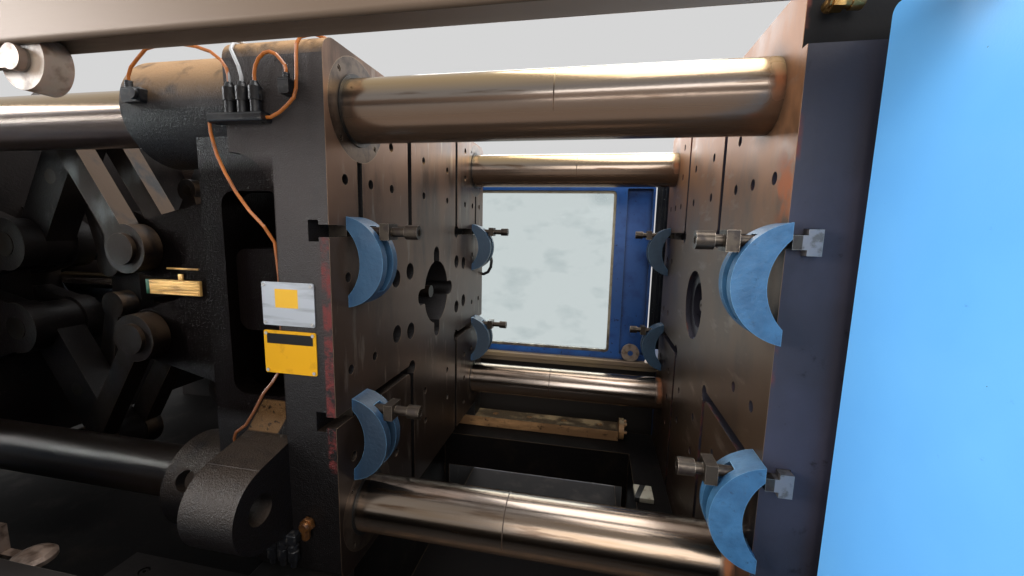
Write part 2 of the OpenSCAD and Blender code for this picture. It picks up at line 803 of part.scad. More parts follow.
module sensor_block() {
  color([0.07, 0.07, 0.08]) at_machine() {
    difference() {
      along_x(-230, -112) round_rect(-moving_w / 2 - 28, -moving_w / 2, 396, 414, 6);
      for (x = [-222, -120]) {
        translate([x, -moving_w / 2 - 14, 390]) cylinder(h = 40, r = 3);
      }
    }
    for (x = [-189, -161, -133]) {
      translate([x, -moving_w / 2 - 14, 414]) {
        cylinder(h = 22, r = 10);
        translate([0, 0, 22]) cylinder(h = 24, r = 12);
        translate([0, 0, 46]) cylinder(h = 10, r1 = 10, r2 = 6);
      }
    }
    along_y(-moving_w / 2 - 22, -moving_w / 2) round_rect(-78, -56, 444, 472, 4);
    translate([-67, -moving_w / 2 - 12, 472]) cylinder(h = 10, r = 6);
    difference() {
      along_y(-bar_at - sleeve_r - 14, -bar_at - sleeve_r + 30) round_rect(-446, -398, 444, 472, 5);
      translate([0, -bar_at, bar_at]) rod_x(-450, -390, sleeve_r + 0.3);
    }
    translate([-432, -bar_at - sleeve_r - 7, 472]) cylinder(h = 14, r = 7);
    translate([-411, 0, 459]) rod_y(-bar_at - sleeve_r - 22, -bar_at - sleeve_r - 13, 11);
  }
}

// Tube of n sides along hand-placed points that stay near one y plane.
function unit(v) = v / norm(v);
function heading(p, i) = unit(p[min(i + 1, len(p) - 1)] - p[max(i - 1, 0)]);
function ring(p, i, r, n) =
  let (d = heading(p, i), s = unit(cross(d, [0.02, 1, 0.01])), t = cross(d, s))
  [for (k = [0:n - 1]) p[i] + r * cos(360 * k / n) * s + r * sin(360 * k / n) * t];

module tube(p, r, n) {
  pts = [for (i = [0:len(p) - 1]) each ring(p, i, r, n)];
  m = len(p);
  sides = [for (i = [0:m - 2], k = [0:n - 1])
    [i * n + k, (i + 1) * n + k, (i + 1) * n + (k + 1) % n, i * n + (k + 1) % n]];
  first = [for (k = [0:n - 1]) k];
  last = [for (k = [0:n - 1]) m * n - 1 - k];
  polyhedron(points = pts, faces = concat(sides, [first], [last]), convexity = 6);
}

module sensor_cables() {
  y = -moving_w / 2 - 14;
  edge = -moving_w / 2;
  top = moving_top + cable_r + 0.3;
  ys = -bar_at - sleeve_r - 7;
  color([0.85, 0.45, 0.12]) at_machine() {
    tube([[-189, y, 470.4], [-189, y, 482], [-193, y, 496], [-204, y, 511], [-226, y, 527],
      [-258, y, 538], [-296, y, 545], [-336, y, 546], [-374, y, 540], [-404, ys, 527],
      [-423, ys, 511], [-431, ys, 496], [-432, ys, 486.4]], cable_r, 8);
    tube([[-161, y, 470.4], [-161, y, 480], [-166, y, 498], [-174, y, 515], [-183, edge - 11, 530],
      [-189, edge, 544], [-194, edge + 15, top - 3], [-198, edge + 36, top + 1], [-200, edge + 80, top]],
      cable_r, 8);
    tube([[-133, y, 470.4], [-133, y, 482], [-130, y, 496], [-122, y, 509], [-110, y, 518],
      [-98, y, 520], [-85, y, 515], [-75, edge - 13, 504], [-69, edge - 12, 496], [-67, edge - 12, 489],
      [-67, edge - 12, 482.4]], cable_r, 8);
    tube([[-111.6, y, 405], [-103, y, 405], [-84, y, 413], [-68, y, 424], [-52, y, 438], [-46, y, 455],
      [-44, y, 480], [-43, y, 510], [-41, y, 530], [-38, edge - 8, 543], [-34, edge + 5, top - 8],
      [-28, edge + 20, top], [-20, edge + 40, top + 1], [-14, edge + 90, top]], cable_r, 8);
    tube([[-230.4, y, 405], [-235, y, 405], [-239, y, 398], [-238, y, 380], [-228, y, 340],
      [-212, y, 305], [-190, y, 268], [-162, y, 232], [-138, edge - 6, 202], [-126, edge + 6, 170],
      [-124, edge + 10, 100], [-125, edge + 10, 0], [-130, edge + 8, -70], [-136, edge + 6, -102],
      [-141, edge - 4, -118], [-158, edge - 12, -142], [-184, edge - 12, -185], [-208, edge - 10, -218],
      [-238, edge - 6, -240], [-247, edge - 3, -256], [-248, edge, -272]], cable_r, 8);
  }
}

module corner_screws(x0, x1, z0, z1, y) {
  for (x = [x0, x1], z = [z0, z1]) {
    translate([x, 0, z]) rod_y(y - 2.5, y, 3.5);
  }
}

module data_plate() {
  y = -moving_w / 2;
  color([0.72, 0.73, 0.74]) at_machine() {
    along_y(y - 2, y) round_rect(-156, -37, 3, 92, 4);
    corner_screws(-150, -43, 9, 86, y - 2);
  }
}

module notice_plate() {
  y = -moving_w / 2;
  color([0.92, 0.74, 0.06]) at_machine() {
    along_y(y - 2, y) round_rect(-157, -37, -98, -8, 4);
    corner_screws(-150, -43, -92, -14, y - 2);
  }
}

module ejector_cylinder() {
  color([0.28, 0.29, 0.31]) at_machine() {
    difference() {
      union() {
        rod_x(-620, -360, 62);
        rod_x(-361, -340, 84);
        both_sides() box([-362, -ear_y0, -40], [-340, -60, 40]);
      }
      rod_x(-560, -339, 22 + run_fit);
    }
  }
}

module ejector_plate() {
  color([0.58, 0.57, 0.55]) at_machine() {
    difference() {
      along_x(-238, -206) round_rect(-90, 90, -60, 60, 16);
      for (y = [-60, 60]) {
        translate([0, y, 0]) rod_x(-239, -205, 9);
      }
    }
    rod_x(-555, -237, 22);
    rod_x(-207, -20, 20);
  }
}

module grease_hose() {
  y = moving_w / 2 + 16;
  color([0.09, 0.09, 0.10]) at_machine() {
    tube([[-22, y, 118], [-4, y, 120], [18, y, 112], [34, y, 92], [40, y, 64], [37, y, 36],
      [24, y, 12], [4, y, 2], [-22, y, 4]], 7, 8);
    for (z = [118, 4]) {
      translate([0, moving_w / 2 + 16, z]) rod_x(-46, -22, 11);
      box([-46, moving_w / 2, z - 9], [-28, moving_w / 2 + 16, z + 9]);
    }
  }
}

module front_gate() {
  x1 = front_edge;
  x0 = front_edge - front_len;
  color([0.28, 0.60, 0.86]) at_machine() {
    difference() {
      along_y(-gate_y1, -gate_y0) round_rect(x0, x1, gate_lo, gate_hi, 20);
      along_y(-gate_y1 - 1, -gate_y0 + 1) round_rect(x0 + 180, x1 - 180, gate_lo + 330, gate_hi - 160, 60);
      along_y(-gate_y0 - 12, -gate_y0 + 1) round_rect(x0 + 160, x1 - 160, gate_lo + 310, gate_hi - 140, 70);
    }
    for (x = [x0 + 60, x1 - 200]) {
      box([x, -gate_y0, rail_z + 90 + slide_gap], [x + 140, -rail_y0 + 4, rail_z + 104]);
    }
    box([x1 - 60, -gate_y0, roller_z - 15], [near_roller_x, -gate_y0 + 10, roller_z + 11]);
    box([x0 + 20, -gate_y0, roller_z - 15], [x0 + 300, -gate_y0 + 10, roller_z + 11]);
    for (x = [near_roller_x, far_roller_x]) {
      translate([x, 0, roller_z]) {
        rod_y(-gate_y0, -gate_y0 + 10, 18);
        rod_y(-gate_y0 + 9, -rail_y0 - 1, 12);
      }
    }
    for (z = [-60, 160]) {
      translate([x1 - 70, -gate_y1 - 2, z]) rod_y(-3, 4, 12);
    }
    box([x1 - 95, -gate_y0, gate_lo], [x1 - 63, -gate_y0 + 10, gate_lo + 30]);
    box([x1 - 95, -gate_y0, gate_lo], [x1 - 63, -guide_knob_y + 8, gate_lo + 8]);
    box([x1 - 75, -guide_knob_y - 8, gate_lo - 54], [x1 - 63, -guide_knob_y + 8, gate_lo + 1]);
    box([x1 - 75, -guide_knob_y - 8, gate_lo - 54], [x1 + 8, -guide_knob_y + 8, gate_lo - 46]);
    translate([x1 + 8, -guide_knob_y, gate_lo - 54]) {
      cylinder(h = 8, r = guide_knob_r);
      translate([0, 0, 7.9]) cylinder(h = 7, r1 = guide_knob_r, r2 = guide_knob_r - 7);
      translate([0, 0, 14.8]) cylinder(h = 5, r1 = guide_knob_r - 7, r2 = guide_knob_r - 20);
    }
  }
}

module front_gate_window() {
  x1 = front_edge;
  x0 = front_edge - front_len;
  color([0.75, 0.82, 0.84, 0.35]) at_machine() {
    along_y(-gate_y0 - 12, -gate_y0 - 4) round_rect(x0 + 162, x1 - 162, gate_lo + 312, gate_hi - 142, 68);
  }
}

// Stepped nylon guide roller on its own shaft.
module gate_roller(x) {
  translate([x, 0, roller_z]) difference() {
    union() {
      rod_y(-rail_y1 + 11, -rail_y0 - 8, roller_r);
      rod_y(-gate_y0 + 10.5, -rail_y1 + 12, 17);
      rod_y(-rail_y0 - 9, -rail_y0 - 4, 19);
    }
    rod_y(-gate_y0 + 10, -rail_y0, 12 + run_fit);
    for (a = [0:45:315]) {
      translate([30 * cos(a), 0, 30 * sin(a)]) rod_y(-rail_y0 - 12, -rail_y0 - 7, 5);
    }
  }
}

module front_gate_roller_near() {
  color([0.86, 0.83, 0.76]) at_machine() gate_roller(near_roller_x);
}

module front_gate_roller_far() {
  color([0.86, 0.83, 0.76]) at_machine() gate_roller(far_roller_x);
}

module rear_gate() {
  color([0.18, 0.40, 0.70]) at_machine() {
    difference() {
      along_y(rear_y0, rear_y1) round_rect(rear_x0, rear_x1, rear_lo, rear_hi, 8);
      along_y(rear_y0 - 1, rear_y1 + 1) round_rect(rear_x0 + 130, 590, rear_lo + 30, rear_hi - 40, 20);
      along_y(rear_y0 - 1, rear_y0 + 26) round_rect(638, rear_x1 - 10, rear_lo + 24, rear_hi - 30, 6);
    }
    translate([700, 0, -276]) rod_y(rear_y0 + 8, rear_y0 + 27, 12);
    translate([690, 0, rear_roller_z]) rod_y(rear_y0 - 26, rear_y0 + 28, 12);
  }
}

module rear_gate_window() {
  color([0.80, 0.86, 0.88, 0.30]) at_machine() {
    along_y(rear_y0 + 14, rear_y0 + 20) round_rect(rear_x0 + 142.3, 577.7, rear_lo + 42.3, rear_hi - 52.3, 7.7);
  }
}

module rear_gate_seal() {
  color([0.86, 0.82, 0.70]) at_machine() along_y(rear_y0 + 6, rear_y0 + 28) difference() {
    round_rect(rear_x0 + 131, 589, rear_lo + 31, rear_hi - 41, 19);
    round_rect(rear_x0 + 142, 578, rear_lo + 42, rear_hi - 52, 8);
  }
}

module rear_gate_roller() {
  color([0.90, 0.87, 0.78]) at_machine() translate([690, 0, rear_roller_z]) difference() {
    rod_y(rear_y0 - 24, rear_y0 - 2, rear_roller_r);
    rod_y(rear_y0 - 25, rear_y0 - 1, 12 + run_fit);
  }
}

module injection_carriage() {
  color([0.20, 0.24, 0.28]) at_machine() difference() {
    union() {
      box([carriage_x0, -carriage_y, plate_lo], [carriage_x1, carriage_y, plate_hi]);
      both_sides() box([carriage_x0 + 30, -360, plate_lo - 30], [carriage_x1 - 30, -333, plate_lo + 1]);
      along_x(housing_in, housing_out) round_rect(-230, 230, plate_hi - 1, 230, 50);
      both_sides() along_y(-100, -70) polygon([[housing_out - 1, plate_hi - 1], [housing_out - 1, -120],
        [housing_out + 300, plate_hi - 1]]);
      both_sides() translate([0, -150, 120]) rod_x(housing_out - 1, housing_out + 360, 60);
      both_sides() translate([0, -150, -150]) rod_x(housing_out - 1, housing_out + 360, 60);
    }
    rod_x(housing_in - 1, housing_out + 1, barrel_r + run_fit);
    both_sides() for (z = [120, -150]) {
      translate([0, -150, z]) rod_x(housing_out + 40, housing_out + 361, 30 + run_fit);
    }
    translate([hopper_x, 0, 0]) cylinder(h = 400, r = 58);
  }
}

module barrel() {
  color([0.45, 0.42, 0.40]) at_machine() difference() {
    union() {
      rod_x(barrel_x0, housing_out - 20, barrel_r);
      rod_x(daylight + 70, barrel_x0 + 1, 42);
      translate([daylight + 22, 0, 0]) rotate([0, 90, 0]) cylinder(h = 49, r1 = 16, r2 = 42);
      rod_x(barrel_x0 - 40, barrel_x0 + 1, 70);
    }
    rod_x(barrel_x0 + 60, housing_out - 19, screw_r + run_fit);
    rod_x(daylight + 21, barrel_x0 + 61, 5);
    translate([hopper_x, 0, 0]) cylinder(h = 200, r = 40);
  }
}

module heater_bands() {
  color([0.55, 0.53, 0.50]) at_machine() {
    for (i = [0:5]) {
      x = inj_x0 + 20 + i * 190;
      difference() {
        union() {
          rod_x(x, x + 150, barrel_r + 14);
          box([x + 40, -20, barrel_r], [x + 110, 20, barrel_r + 46]);
        }
        rod_x(x - 1, x + 151, barrel_r);
      }
    }
  }
}

module screw() {
  color([0.66, 0.66, 0.66]) at_machine() {
    translate([barrel_x0 + 70, 0, 0]) rotate([0, 90, 0]) cylinder(h = 61, r1 = 6, r2 = screw_r - 6);
    rod_x(barrel_x0 + 130, thrust_x - 60, screw_r - 0.02);
    difference() {
      rod_x(thrust_x - 61, thrust_x, 46);
      for (a = [0:60:300]) {
        rotate([a, 0, 0]) translate([0, 0, 41]) box([thrust_x - 50, -5, 0], [thrust_x + 1, 5, 10]);
      }
    }
  }
}

module thrust_unit() {
  color([0.22, 0.24, 0.27]) at_machine() {
    along_x(thrust_x + 0.3, thrust_x + 110) round_rect(-230, 230, -230, 230, 40);
    both_sides() for (z = [120, -150]) {
      translate([0, -150, z]) rod_x(housing_out + 60, thrust_x + 2, 30);
    }
    rod_x(thrust_x + 109, thrust_x + 300, 130);
    rod_x(thrust_x + 299, thrust_x + 420, 100);
    translate([thrust_x + 200, 0, 125]) cylinder(h = 60, r = 26);
    translate([thrust_x + 360, 0, 95]) cylinder(h = 50, r = 22);
  }
}

module hopper() {
  color([0.70, 0.71, 0.73]) at_machine() translate([hopper_x, 0, hopper_z]) difference() {
    union() {
      cylinder(h = 30, r = 130);
      cylinder(h = 121, r = 70);
      translate([0, 0, 120]) cylinder(h = 260, r1 = 70, r2 = hopper_r);
      translate([0, 0, 379]) cylinder(h = 260, r = hopper_r);
      translate([0, 0, 630]) cylinder(h = 12, r = hopper_r + 14);
      for (y = [-54, 42]) {
        box([hopper_r, y, 612], [lid_pivot + 12, y + 12, 642]);
        box([hopper_r + 13, y, 641], [lid_pivot + 12, y + 12, 656]);
      }
      translate([lid_pivot, 0, 646.3]) rod_y(-54, 54, 4);
    }
    translate([0, 0, -1]) cylinder(h = 122, r = 56);
    translate([0, 0, 120]) cylinder(h = 260, r1 = 56, r2 = hopper_r - 4);
    translate([0, 0, 379]) cylinder(h = 300, r = hopper_r - 4);
  }
}

module hopper_lid() {
  color([0.72, 0.73, 0.75]) at_machine() translate([hopper_x, 0, hopper_z]) {
    translate([0, 0, 642.3]) cylinder(h = 8, r = hopper_r + 10);
    translate([0, 0, 650]) cylinder(h = 26, r = 18);
    difference() {
      union() {
        box([hopper_r - 10, -40, 642.3], [lid_pivot, 40, 650.3]);
        translate([lid_pivot, 0, 646.3]) rod_y(-40, 40, 8);
      }
      translate([lid_pivot, 0, 646.3]) rod_y(-41, 41, 4 + run_fit);
    }
  }
}

module carriage_cylinders() {
  color([0.30, 0.33, 0.36]) at_machine() both_sides() {
    difference() {
      union() {
        translate([0, -cylinder_y, cylinder_z]) rod_x(carriage_x0 - 740, carriage_x0 + 40, 48);
        translate([0, -cylinder_y, cylinder_z]) rod_x(carriage_x0 - 20, carriage_x0 + 40, 60);
        box([carriage_x0, -cylinder_y - 30, plate_hi], [carriage_x0 + 40, -cylinder_y + 30, cylinder_z - 40]);
      }
      translate([0, -cylinder_y, cylinder_z]) rod_x(carriage_x0 - 741, carriage_x0 + 10, 22 + run_fit);
    }
  }
}

bed_frame();
levelling_feet();
lower_covers();
guide_ways();
stationary_platen();
tie_bars();
front_bar_nuts();
fixed_clamps();
fixed_clamp_bolts();
gate_rails();
front_housing();
rear_housing();
control_panel();
carriage_rails();
carriage_rods();
tail_platen();
tail_bar_nuts();
tail_pins();
clamp_cylinder();
crosshead_guides();
crosshead();
rear_links_upper();
rear_links_lower();
knuckle_pins_upper();
knuckle_pins_lower();
front_links_upper();
front_links_lower();
short_links_upper();
short_links_lower();
moving_platen();
platen_bushes();
bar_seals();
moving_clamps();
moving_clamp_bolts();
slide_shoes();
sensor_block();
sensor_cables();
data_plate();
notice_plate();
ejector_cylinder();
ejector_plate();
grease_hose();
front_gate();
front_gate_window();
front_gate_roller_near();
front_gate_roller_far();
rear_gate();
rear_gate_window();
rear_gate_seal();
rear_gate_roller();
injection_carriage();
barrel();
heater_bands();
screw();
thrust_unit();
hopper();
hopper_lid();
carriage_cylinders();
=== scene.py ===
import math

import bmesh
import bpy
from mathutils import Matrix, Vector


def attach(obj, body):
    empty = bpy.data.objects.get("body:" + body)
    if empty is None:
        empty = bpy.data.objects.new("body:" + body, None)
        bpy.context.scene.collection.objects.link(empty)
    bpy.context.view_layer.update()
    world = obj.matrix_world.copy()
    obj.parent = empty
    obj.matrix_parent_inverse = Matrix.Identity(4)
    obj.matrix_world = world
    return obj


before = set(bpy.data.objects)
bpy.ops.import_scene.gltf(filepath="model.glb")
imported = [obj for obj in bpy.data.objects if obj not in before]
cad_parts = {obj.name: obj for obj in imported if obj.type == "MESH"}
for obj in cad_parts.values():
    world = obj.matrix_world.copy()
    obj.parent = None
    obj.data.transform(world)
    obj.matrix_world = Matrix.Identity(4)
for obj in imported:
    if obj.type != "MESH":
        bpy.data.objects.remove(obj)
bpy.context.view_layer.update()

# The bed is a box welded from thick plate, open in the middle where the moulded parts drop.
# It is sprayed with dark blue-grey enamel; its inside is painted near black, as shade together with
# oil, grease and dirt.


def shade(red, green, blue):
    """Turns a colour matched on a 0 to 255 card into the renderer's own numbers."""
    return tuple(((part / 255 + 0.055) / 1.055) ** 2.4 if part > 10 else part / 3294.6
                 for part in (red, green, blue))


class Finish:
    """A painted or machined surface: a ground colour with coats laid over it one by one."""

    def __init__(self, name, colour, roughness, metal=0.0, gloss=0.5):
        self.material = bpy.data.materials.new(name)
        self.material.use_nodes = True
        self.tree = self.material.node_tree
        self.shader = self.tree.nodes["Principled BSDF"]
        self.now = {"Base Color": (*colour, 1.0), "Roughness": roughness, "Metallic": metal}
        for socket, value in self.now.items():
            self.shader.inputs[socket].default_value = value
        self.shader.inputs["Specular IOR Level"].default_value = gloss
        self.place = self.add("ShaderNodeTexCoord").outputs["Object"]
        apart = self.add("ShaderNodeSeparateXYZ")
        self.join(self.place, apart.inputs[0])
        self.x, self.y, self.z = apart.outputs

    def add(self, kind, **settings):
        """Adds one step to the finish, set up as told."""
        made = self.tree.nodes.new(kind)
        for key, value in settings.items():
            setattr(made, key, value)
        return made

    def join(self, source, socket):
        """Feeds a socket from an earlier step, or sets it to a plain value."""
        if isinstance(source, bpy.types.NodeSocket):
            self.tree.links.new(source, socket)
        else:
            socket.default_value = source

    def calc(self, operation, first, second=0.0):
        """One sum on two values, or on the first alone."""
        made = self.add("ShaderNodeMath", operation=operation)
        self.join(first, made.inputs[0])
        self.join(second, made.inputs[1])
        return made.outputs[0]

    def fade(self, value, low, high, top=1.0):
        """Nought at the low limit, rising to the top at the high one."""
        made = self.add("ShaderNodeMapRange")
        self.join(value, made.inputs["Value"])
        made.inputs["From Min"].default_value = low
        made.inputs["From Max"].default_value = high
        made.inputs["To Max"].default_value = top
        return made.outputs["Result"]

    def cloud(self, scale, detail, stretch=(1, 1, 1), shift=0.0, grain=0.55):
        """An uneven pattern, finer with a greater scale and rougher with a greater grain."""
        slide = self.add("ShaderNodeMapping")
        self.join(self.place, slide.inputs["Vector"])
        slide.inputs["Scale"].default_value = stretch
        slide.inputs["Location"].default_value = (shift, shift * 0.7, shift * 1.3)
        made = self.add("ShaderNodeTexNoise")
        self.join(slide.outputs["Vector"], made.inputs["Vector"])
        made.inputs["Scale"].default_value = scale
        made.inputs["Detail"].default_value = detail
        made.inputs["Roughness"].default_value = grain
        return made.outputs["Fac"]

    def patches(self, scale, detail, low, high, top=1.0, **grain):
        """One where the cloud is thick, nought where it is thin."""
        return self.fade(self.cloud(scale, detail, **grain), low, high, top)

    def ragged(self, value, reach, scale, detail, **grain):
        """The value pushed about unevenly, so that a limit on it has no straight edge."""
        return self.calc("ADD", value, self.calc("MULTIPLY", self.cloud(scale, detail, **grain), reach))

    def strip(self, value, middle, half, soft):
        """One within half a width of the middle, with soft sides."""
        away = self.calc("ABSOLUTE", self.calc("SUBTRACT", value, middle))
        return self.fade(away, half + soft, half)

    def both(self, *masks):
        """One only where every one of the masks is."""
        result = masks[0]
        for mask in masks[1:]:
            result = self.calc("MULTIPLY", result, mask)
        return result

    def other(self, mask):
        """All the rest of the surface."""
        return self.calc("SUBTRACT", 1.0, mask)

    def facing(self, way, low, high):
        """One where the surface looks along the given direction."""
        plain = self.add("ShaderNodeNewGeometry")
        turn = self.add("ShaderNodeVectorMath", operation="DOT_PRODUCT")
        self.join(plain.outputs["Normal"], turn.inputs[0])
        turn.inputs[1].default_value = way
        return self.fade(turn.outputs["Value"], low, high)

    def edges(self, radius):
        """One where a sharp edge has been rubbed, nought on the flat."""
        soft = self.add("ShaderNodeBevel", samples=4)
        soft.inputs["Radius"].default_value = radius
        plain = self.add("ShaderNodeNewGeometry")
        turn = self.add("ShaderNodeVectorMath", operation="DOT_PRODUCT")
        self.join(soft.outputs["Normal"], turn.inputs[0])
        self.join(plain.outputs["Normal"], turn.inputs[1])
        flat, rubbed = 0.98, 0.85
        return self.fade(turn.outputs["Value"], flat, rubbed)

    def corners(self, reach):
        """One in holes and inner corners, where shade falls and oil and dirt gather; coats laid on it
        are painted shade.
        """
        made = self.add("ShaderNodeAmbientOcclusion", samples=4)
        made.inputs["Distance"].default_value = reach
        wide_open, closed_in = 0.92, 0.45
        return self.fade(made.outputs["AO"], wide_open, closed_in)

    def coat(self, mask, colour, roughness, metal=None):
        """Lays a coat where the mask is one, or where all of several masks are."""
        if isinstance(mask, tuple):
            mask = self.both(*mask)
        changes = {"Base Color": (*colour, 1.0), "Roughness": roughness}
        if metal is not None:
            changes["Metallic"] = metal
        for socket, value in changes.items():
            made = self.add("ShaderNodeMix", data_type="RGBA" if socket == "Base Color" else "FLOAT")
            under, over = [pin for pin in made.inputs if pin.enabled and pin.name in ("A", "B")]
            self.join(mask, made.inputs[0])
            self.join(self.now[socket], under)
            self.join(value, over)
            self.now[socket] = [pin for pin in made.outputs if pin.enabled][0]
            self.join(self.now[socket], self.shader.inputs[socket])

    def relief(self, height, depth, strength):
        """Raises fine bumps, to a depth in metres."""
        if isinstance(height, tuple):
            height = self.both(*height)
        made = self.add("ShaderNodeBump")
        made.inputs["Strength"].default_value = strength
        made.inputs["Distance"].default_value = depth
        self.join(height, made.inputs["Height"])
        before = self.shader.inputs["Normal"]
        if before.is_linked:
            self.join(before.links[0].from_socket, made.inputs["Normal"])
        self.join(made.outputs["Normal"], before)

    def onto(self, *nodes):
        """Puts the finish on the named pieces of the frame."""
        for name in nodes:
            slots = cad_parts[name].data.materials
            for i in range(len(slots)):
                slots[i] = self.material


bed_enamel = Finish("bed_enamel", shade(36, 40, 48), 0.5, gloss=0.25)
bed_enamel.coat(bed_enamel.patches(5.5, 6, 0.48, 0.62, shift=3.1), shade(28, 26, 26), 0.36)
bed_enamel.coat(bed_enamel.patches(14, 8, 0.55, 0.75, shift=8.0, grain=0.7), shade(70, 56, 42), 0.66)
bed_enamel.coat(bed_enamel.patches(70, 3, 0.70, 0.74, shift=1.7), shade(96, 86, 78), 0.5, 0.5)
# Under the clamp unit the bed's inside is painted near black: painted shade, with black oil.
under_clamp = bed_enamel.both(bed_enamel.strip(bed_enamel.y, 0.0, 0.79, 0.01),
                              bed_enamel.fade(bed_enamel.x, 0.16, 0.12))
bed_enamel.coat(under_clamp, shade(14, 10, 9), 0.7, 0.6)
caked = bed_enamel.patches(9, 7, 0.52, 0.72, shift=5.5, grain=0.7)
bed_enamel.coat((under_clamp, caked), shade(30, 22, 16), 0.6)
bed_enamel.coat((under_clamp, bed_enamel.edges(0.003)), shade(120, 98, 74), 0.45, 0.4)
bed_enamel.relief(bed_enamel.cloud(240, 3), 0.0012, 0.35)
bed_enamel.onto("bed_frame")

foot_iron = Finish("foot_iron", shade(70, 72, 74), 0.55, 0.6)
foot_iron.coat(foot_iron.patches(30, 6, 0.5, 0.7), shade(92, 66, 44), 0.8, 0.1)
foot_iron.relief(foot_iron.cloud(400, 2), 0.0008, 0.4)
foot_iron.onto("levelling_feet")

# The lower covers are pressed steel sheets with louvres, held to the bed by cap screws.
# They are stove enamelled blue, scuffed by shoes and dulled by dust along the bottom.


def at(x, y, z):
    """A point given as on the drawing: millimetres from the middle of the moving platen's face."""
    face_x, face_z = -950, 1250
    return Vector(((x + face_x) / 1000, y / 1000, (z + face_z) / 1000))


def hexagon(radius, angle):
    """How far out a hexagon's side lies at an angle, for the radius of its corners."""
    return radius * math.cos(math.pi / 6) / math.cos((angle % (math.pi / 3)) - math.pi / 6)


def turn_up(mesh, profile, foot, axis, sides):
    """Turns a profile of (radius, height[, "hex"]) in millimetres about an axis through foot."""
    axis = Vector(axis).normalized()
    first = axis.orthogonal().normalized()
    second = axis.cross(first)
    rings = []
    for entry in profile:
        ring = []
        for k in range(sides):
            angle = 2 * math.pi * k / sides
            radius = hexagon(entry[0], angle) if len(entry) > 2 else entry[0]
            out = first * math.cos(angle) + second * math.sin(angle)
            ring.append(mesh.verts.new(foot + axis * entry[1] / 1000 + out * radius / 1000))
        rings.append(ring)
    for lower, upper in zip(rings, rings[1:]):
        for k in range(sides):
            mesh.faces.new((lower[k], lower[(k + 1) % sides], upper[(k + 1) % sides], upper[k]))
    mesh.faces.new(rings[0][::-1])
    mesh.faces.new(rings[-1])


def block(mesh, low, high, round_off=1.5):
    """A block with its edges rounded, between two corners given as on the drawing."""
    low, high = at(*low), at(*high)
    made = bmesh.ops.create_cube(mesh, size=1.0, matrix=Matrix.Translation((low + high) / 2)
                                 @ Matrix.Diagonal((*(high - low), 1.0)))
    rims = list({e for v in made["verts"] for e in v.link_edges})
    bmesh.ops.bevel(mesh, geom=rims, offset=round_off / 1000, segments=3, profile=0.5, affect="EDGES")


def cap_screw(mesh, foot, axis, radius):
    """The head of a socket screw, with its chamfer and hexagon hole."""
    height, hole = radius * 1.1, radius * 0.6
    turn_up(mesh, [(radius, 0), (radius, height * 0.85), (radius * 0.92, height), (hole, height, "hex"),
                   (hole, height * 0.35, "hex"), (radius * 0.1, height * 0.3)], foot, axis, 24)


def fix(name, mesh, finish, body):
    """Finishes a piece and fastens it to the body that carries it."""
    sharp_from = math.radians(40)
    data = bpy.data.meshes.new(name)
    bmesh.ops.recalc_face_normals(mesh, faces=mesh.faces)
    mesh.to_mesh(data)
    mesh.free()
    data.shade_smooth()
    data.set_sharp_from_angle(angle=sharp_from)
    piece = bpy.data.objects.new(name, data)
    bpy.context.scene.collection.objects.link(piece)
    data.materials.append(finish.material)
    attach(piece, body)


cover_enamel = Finish("cover_enamel", shade(66, 120, 178), 0.38)
dust = cover_enamel.both(cover_enamel.fade(cover_enamel.z, 0.55, 0.15), cover_enamel.cloud(9, 6))
cover_enamel.coat(dust, shade(118, 116, 108), 0.7)
scuffs = cover_enamel.cloud(26, 8, stretch=(0.25, 1, 1), shift=5.0, grain=0.7)
cover_enamel.coat(cover_enamel.fade(scuffs, 0.66, 0.72), shade(36, 56, 84), 0.5)
cover_enamel.coat(cover_enamel.edges(0.003), shade(120, 140, 160), 0.35, 0.4)
# The covers' inner faces, inside the bed, are painted dark brown as shade.
rear_inside = cover_enamel.both(cover_enamel.facing((0, -1, 0), 0.5, 0.9),
                                cover_enamel.fade(cover_enamel.y, 0.5, 0.6))
front_inside = cover_enamel.both(cover_enamel.facing((0, 1, 0), 0.5, 0.9),
                                 cover_enamel.fade(cover_enamel.y, -0.5, -0.6))
cover_enamel.coat(cover_enamel.calc("MAXIMUM", rear_inside, front_inside), shade(34, 27, 21), 0.6)
cover_enamel.relief(cover_enamel.cloud(420, 2), 0.0004, 0.3)
cover_enamel.onto("lower_covers")

screw_steel = Finish("screw_steel", shade(126, 124, 120), 0.34, 0.95)
screw_steel.coat(screw_steel.patches(120, 5, 0.5, 0.66), shade(70, 58, 48), 0.45, 0.6)
screw_steel.relief(screw_steel.cloud(600, 2), 0.0002, 0.3)
cover_screws = bmesh.new()
upper_row, lower_row, cover_out = -480, -1060, 840
for x in range(-1900, 800, 300):
    for side in (-1, 1):
        for z in (upper_row, lower_row):
            if z == upper_row or not -180 < x < 720:
                cap_screw(cover_screws, at(x, side * cover_out, z), (0, side, 0), 9)
fix("cover_screws", cover_screws, screw_steel, "bed")

# The guide ways are ground steel strips screwed along the bed for the moving platen's shoes.
# Old beige grease has been pushed over their sides, and dirt sticks in it.
way_grease = Finish("way_grease", shade(150, 112, 76), 0.45, 0.3)
smear = way_grease.cloud(11, 8, stretch=(0.35, 1, 1), grain=0.65)
way_grease.coat(way_grease.fade(smear, 0.44, 0.60), shade(206, 156, 104), 0.55, 0.05)
way_grease.coat(way_grease.patches(38, 8, 0.60, 0.70, shift=4.0), shade(78, 50, 30), 0.4, 0.1)
way_top = way_grease.facing((0, 0, 1), 0.5, 0.9)
way_grease.coat(way_top, shade(84, 68, 50), 0.4, 0.4)
scraped_up = way_grease.patches(18, 8, 0.5, 0.6, shift=2.0)
way_grease.coat((way_top, scraped_up), shade(136, 114, 82), 0.5, 0.1)
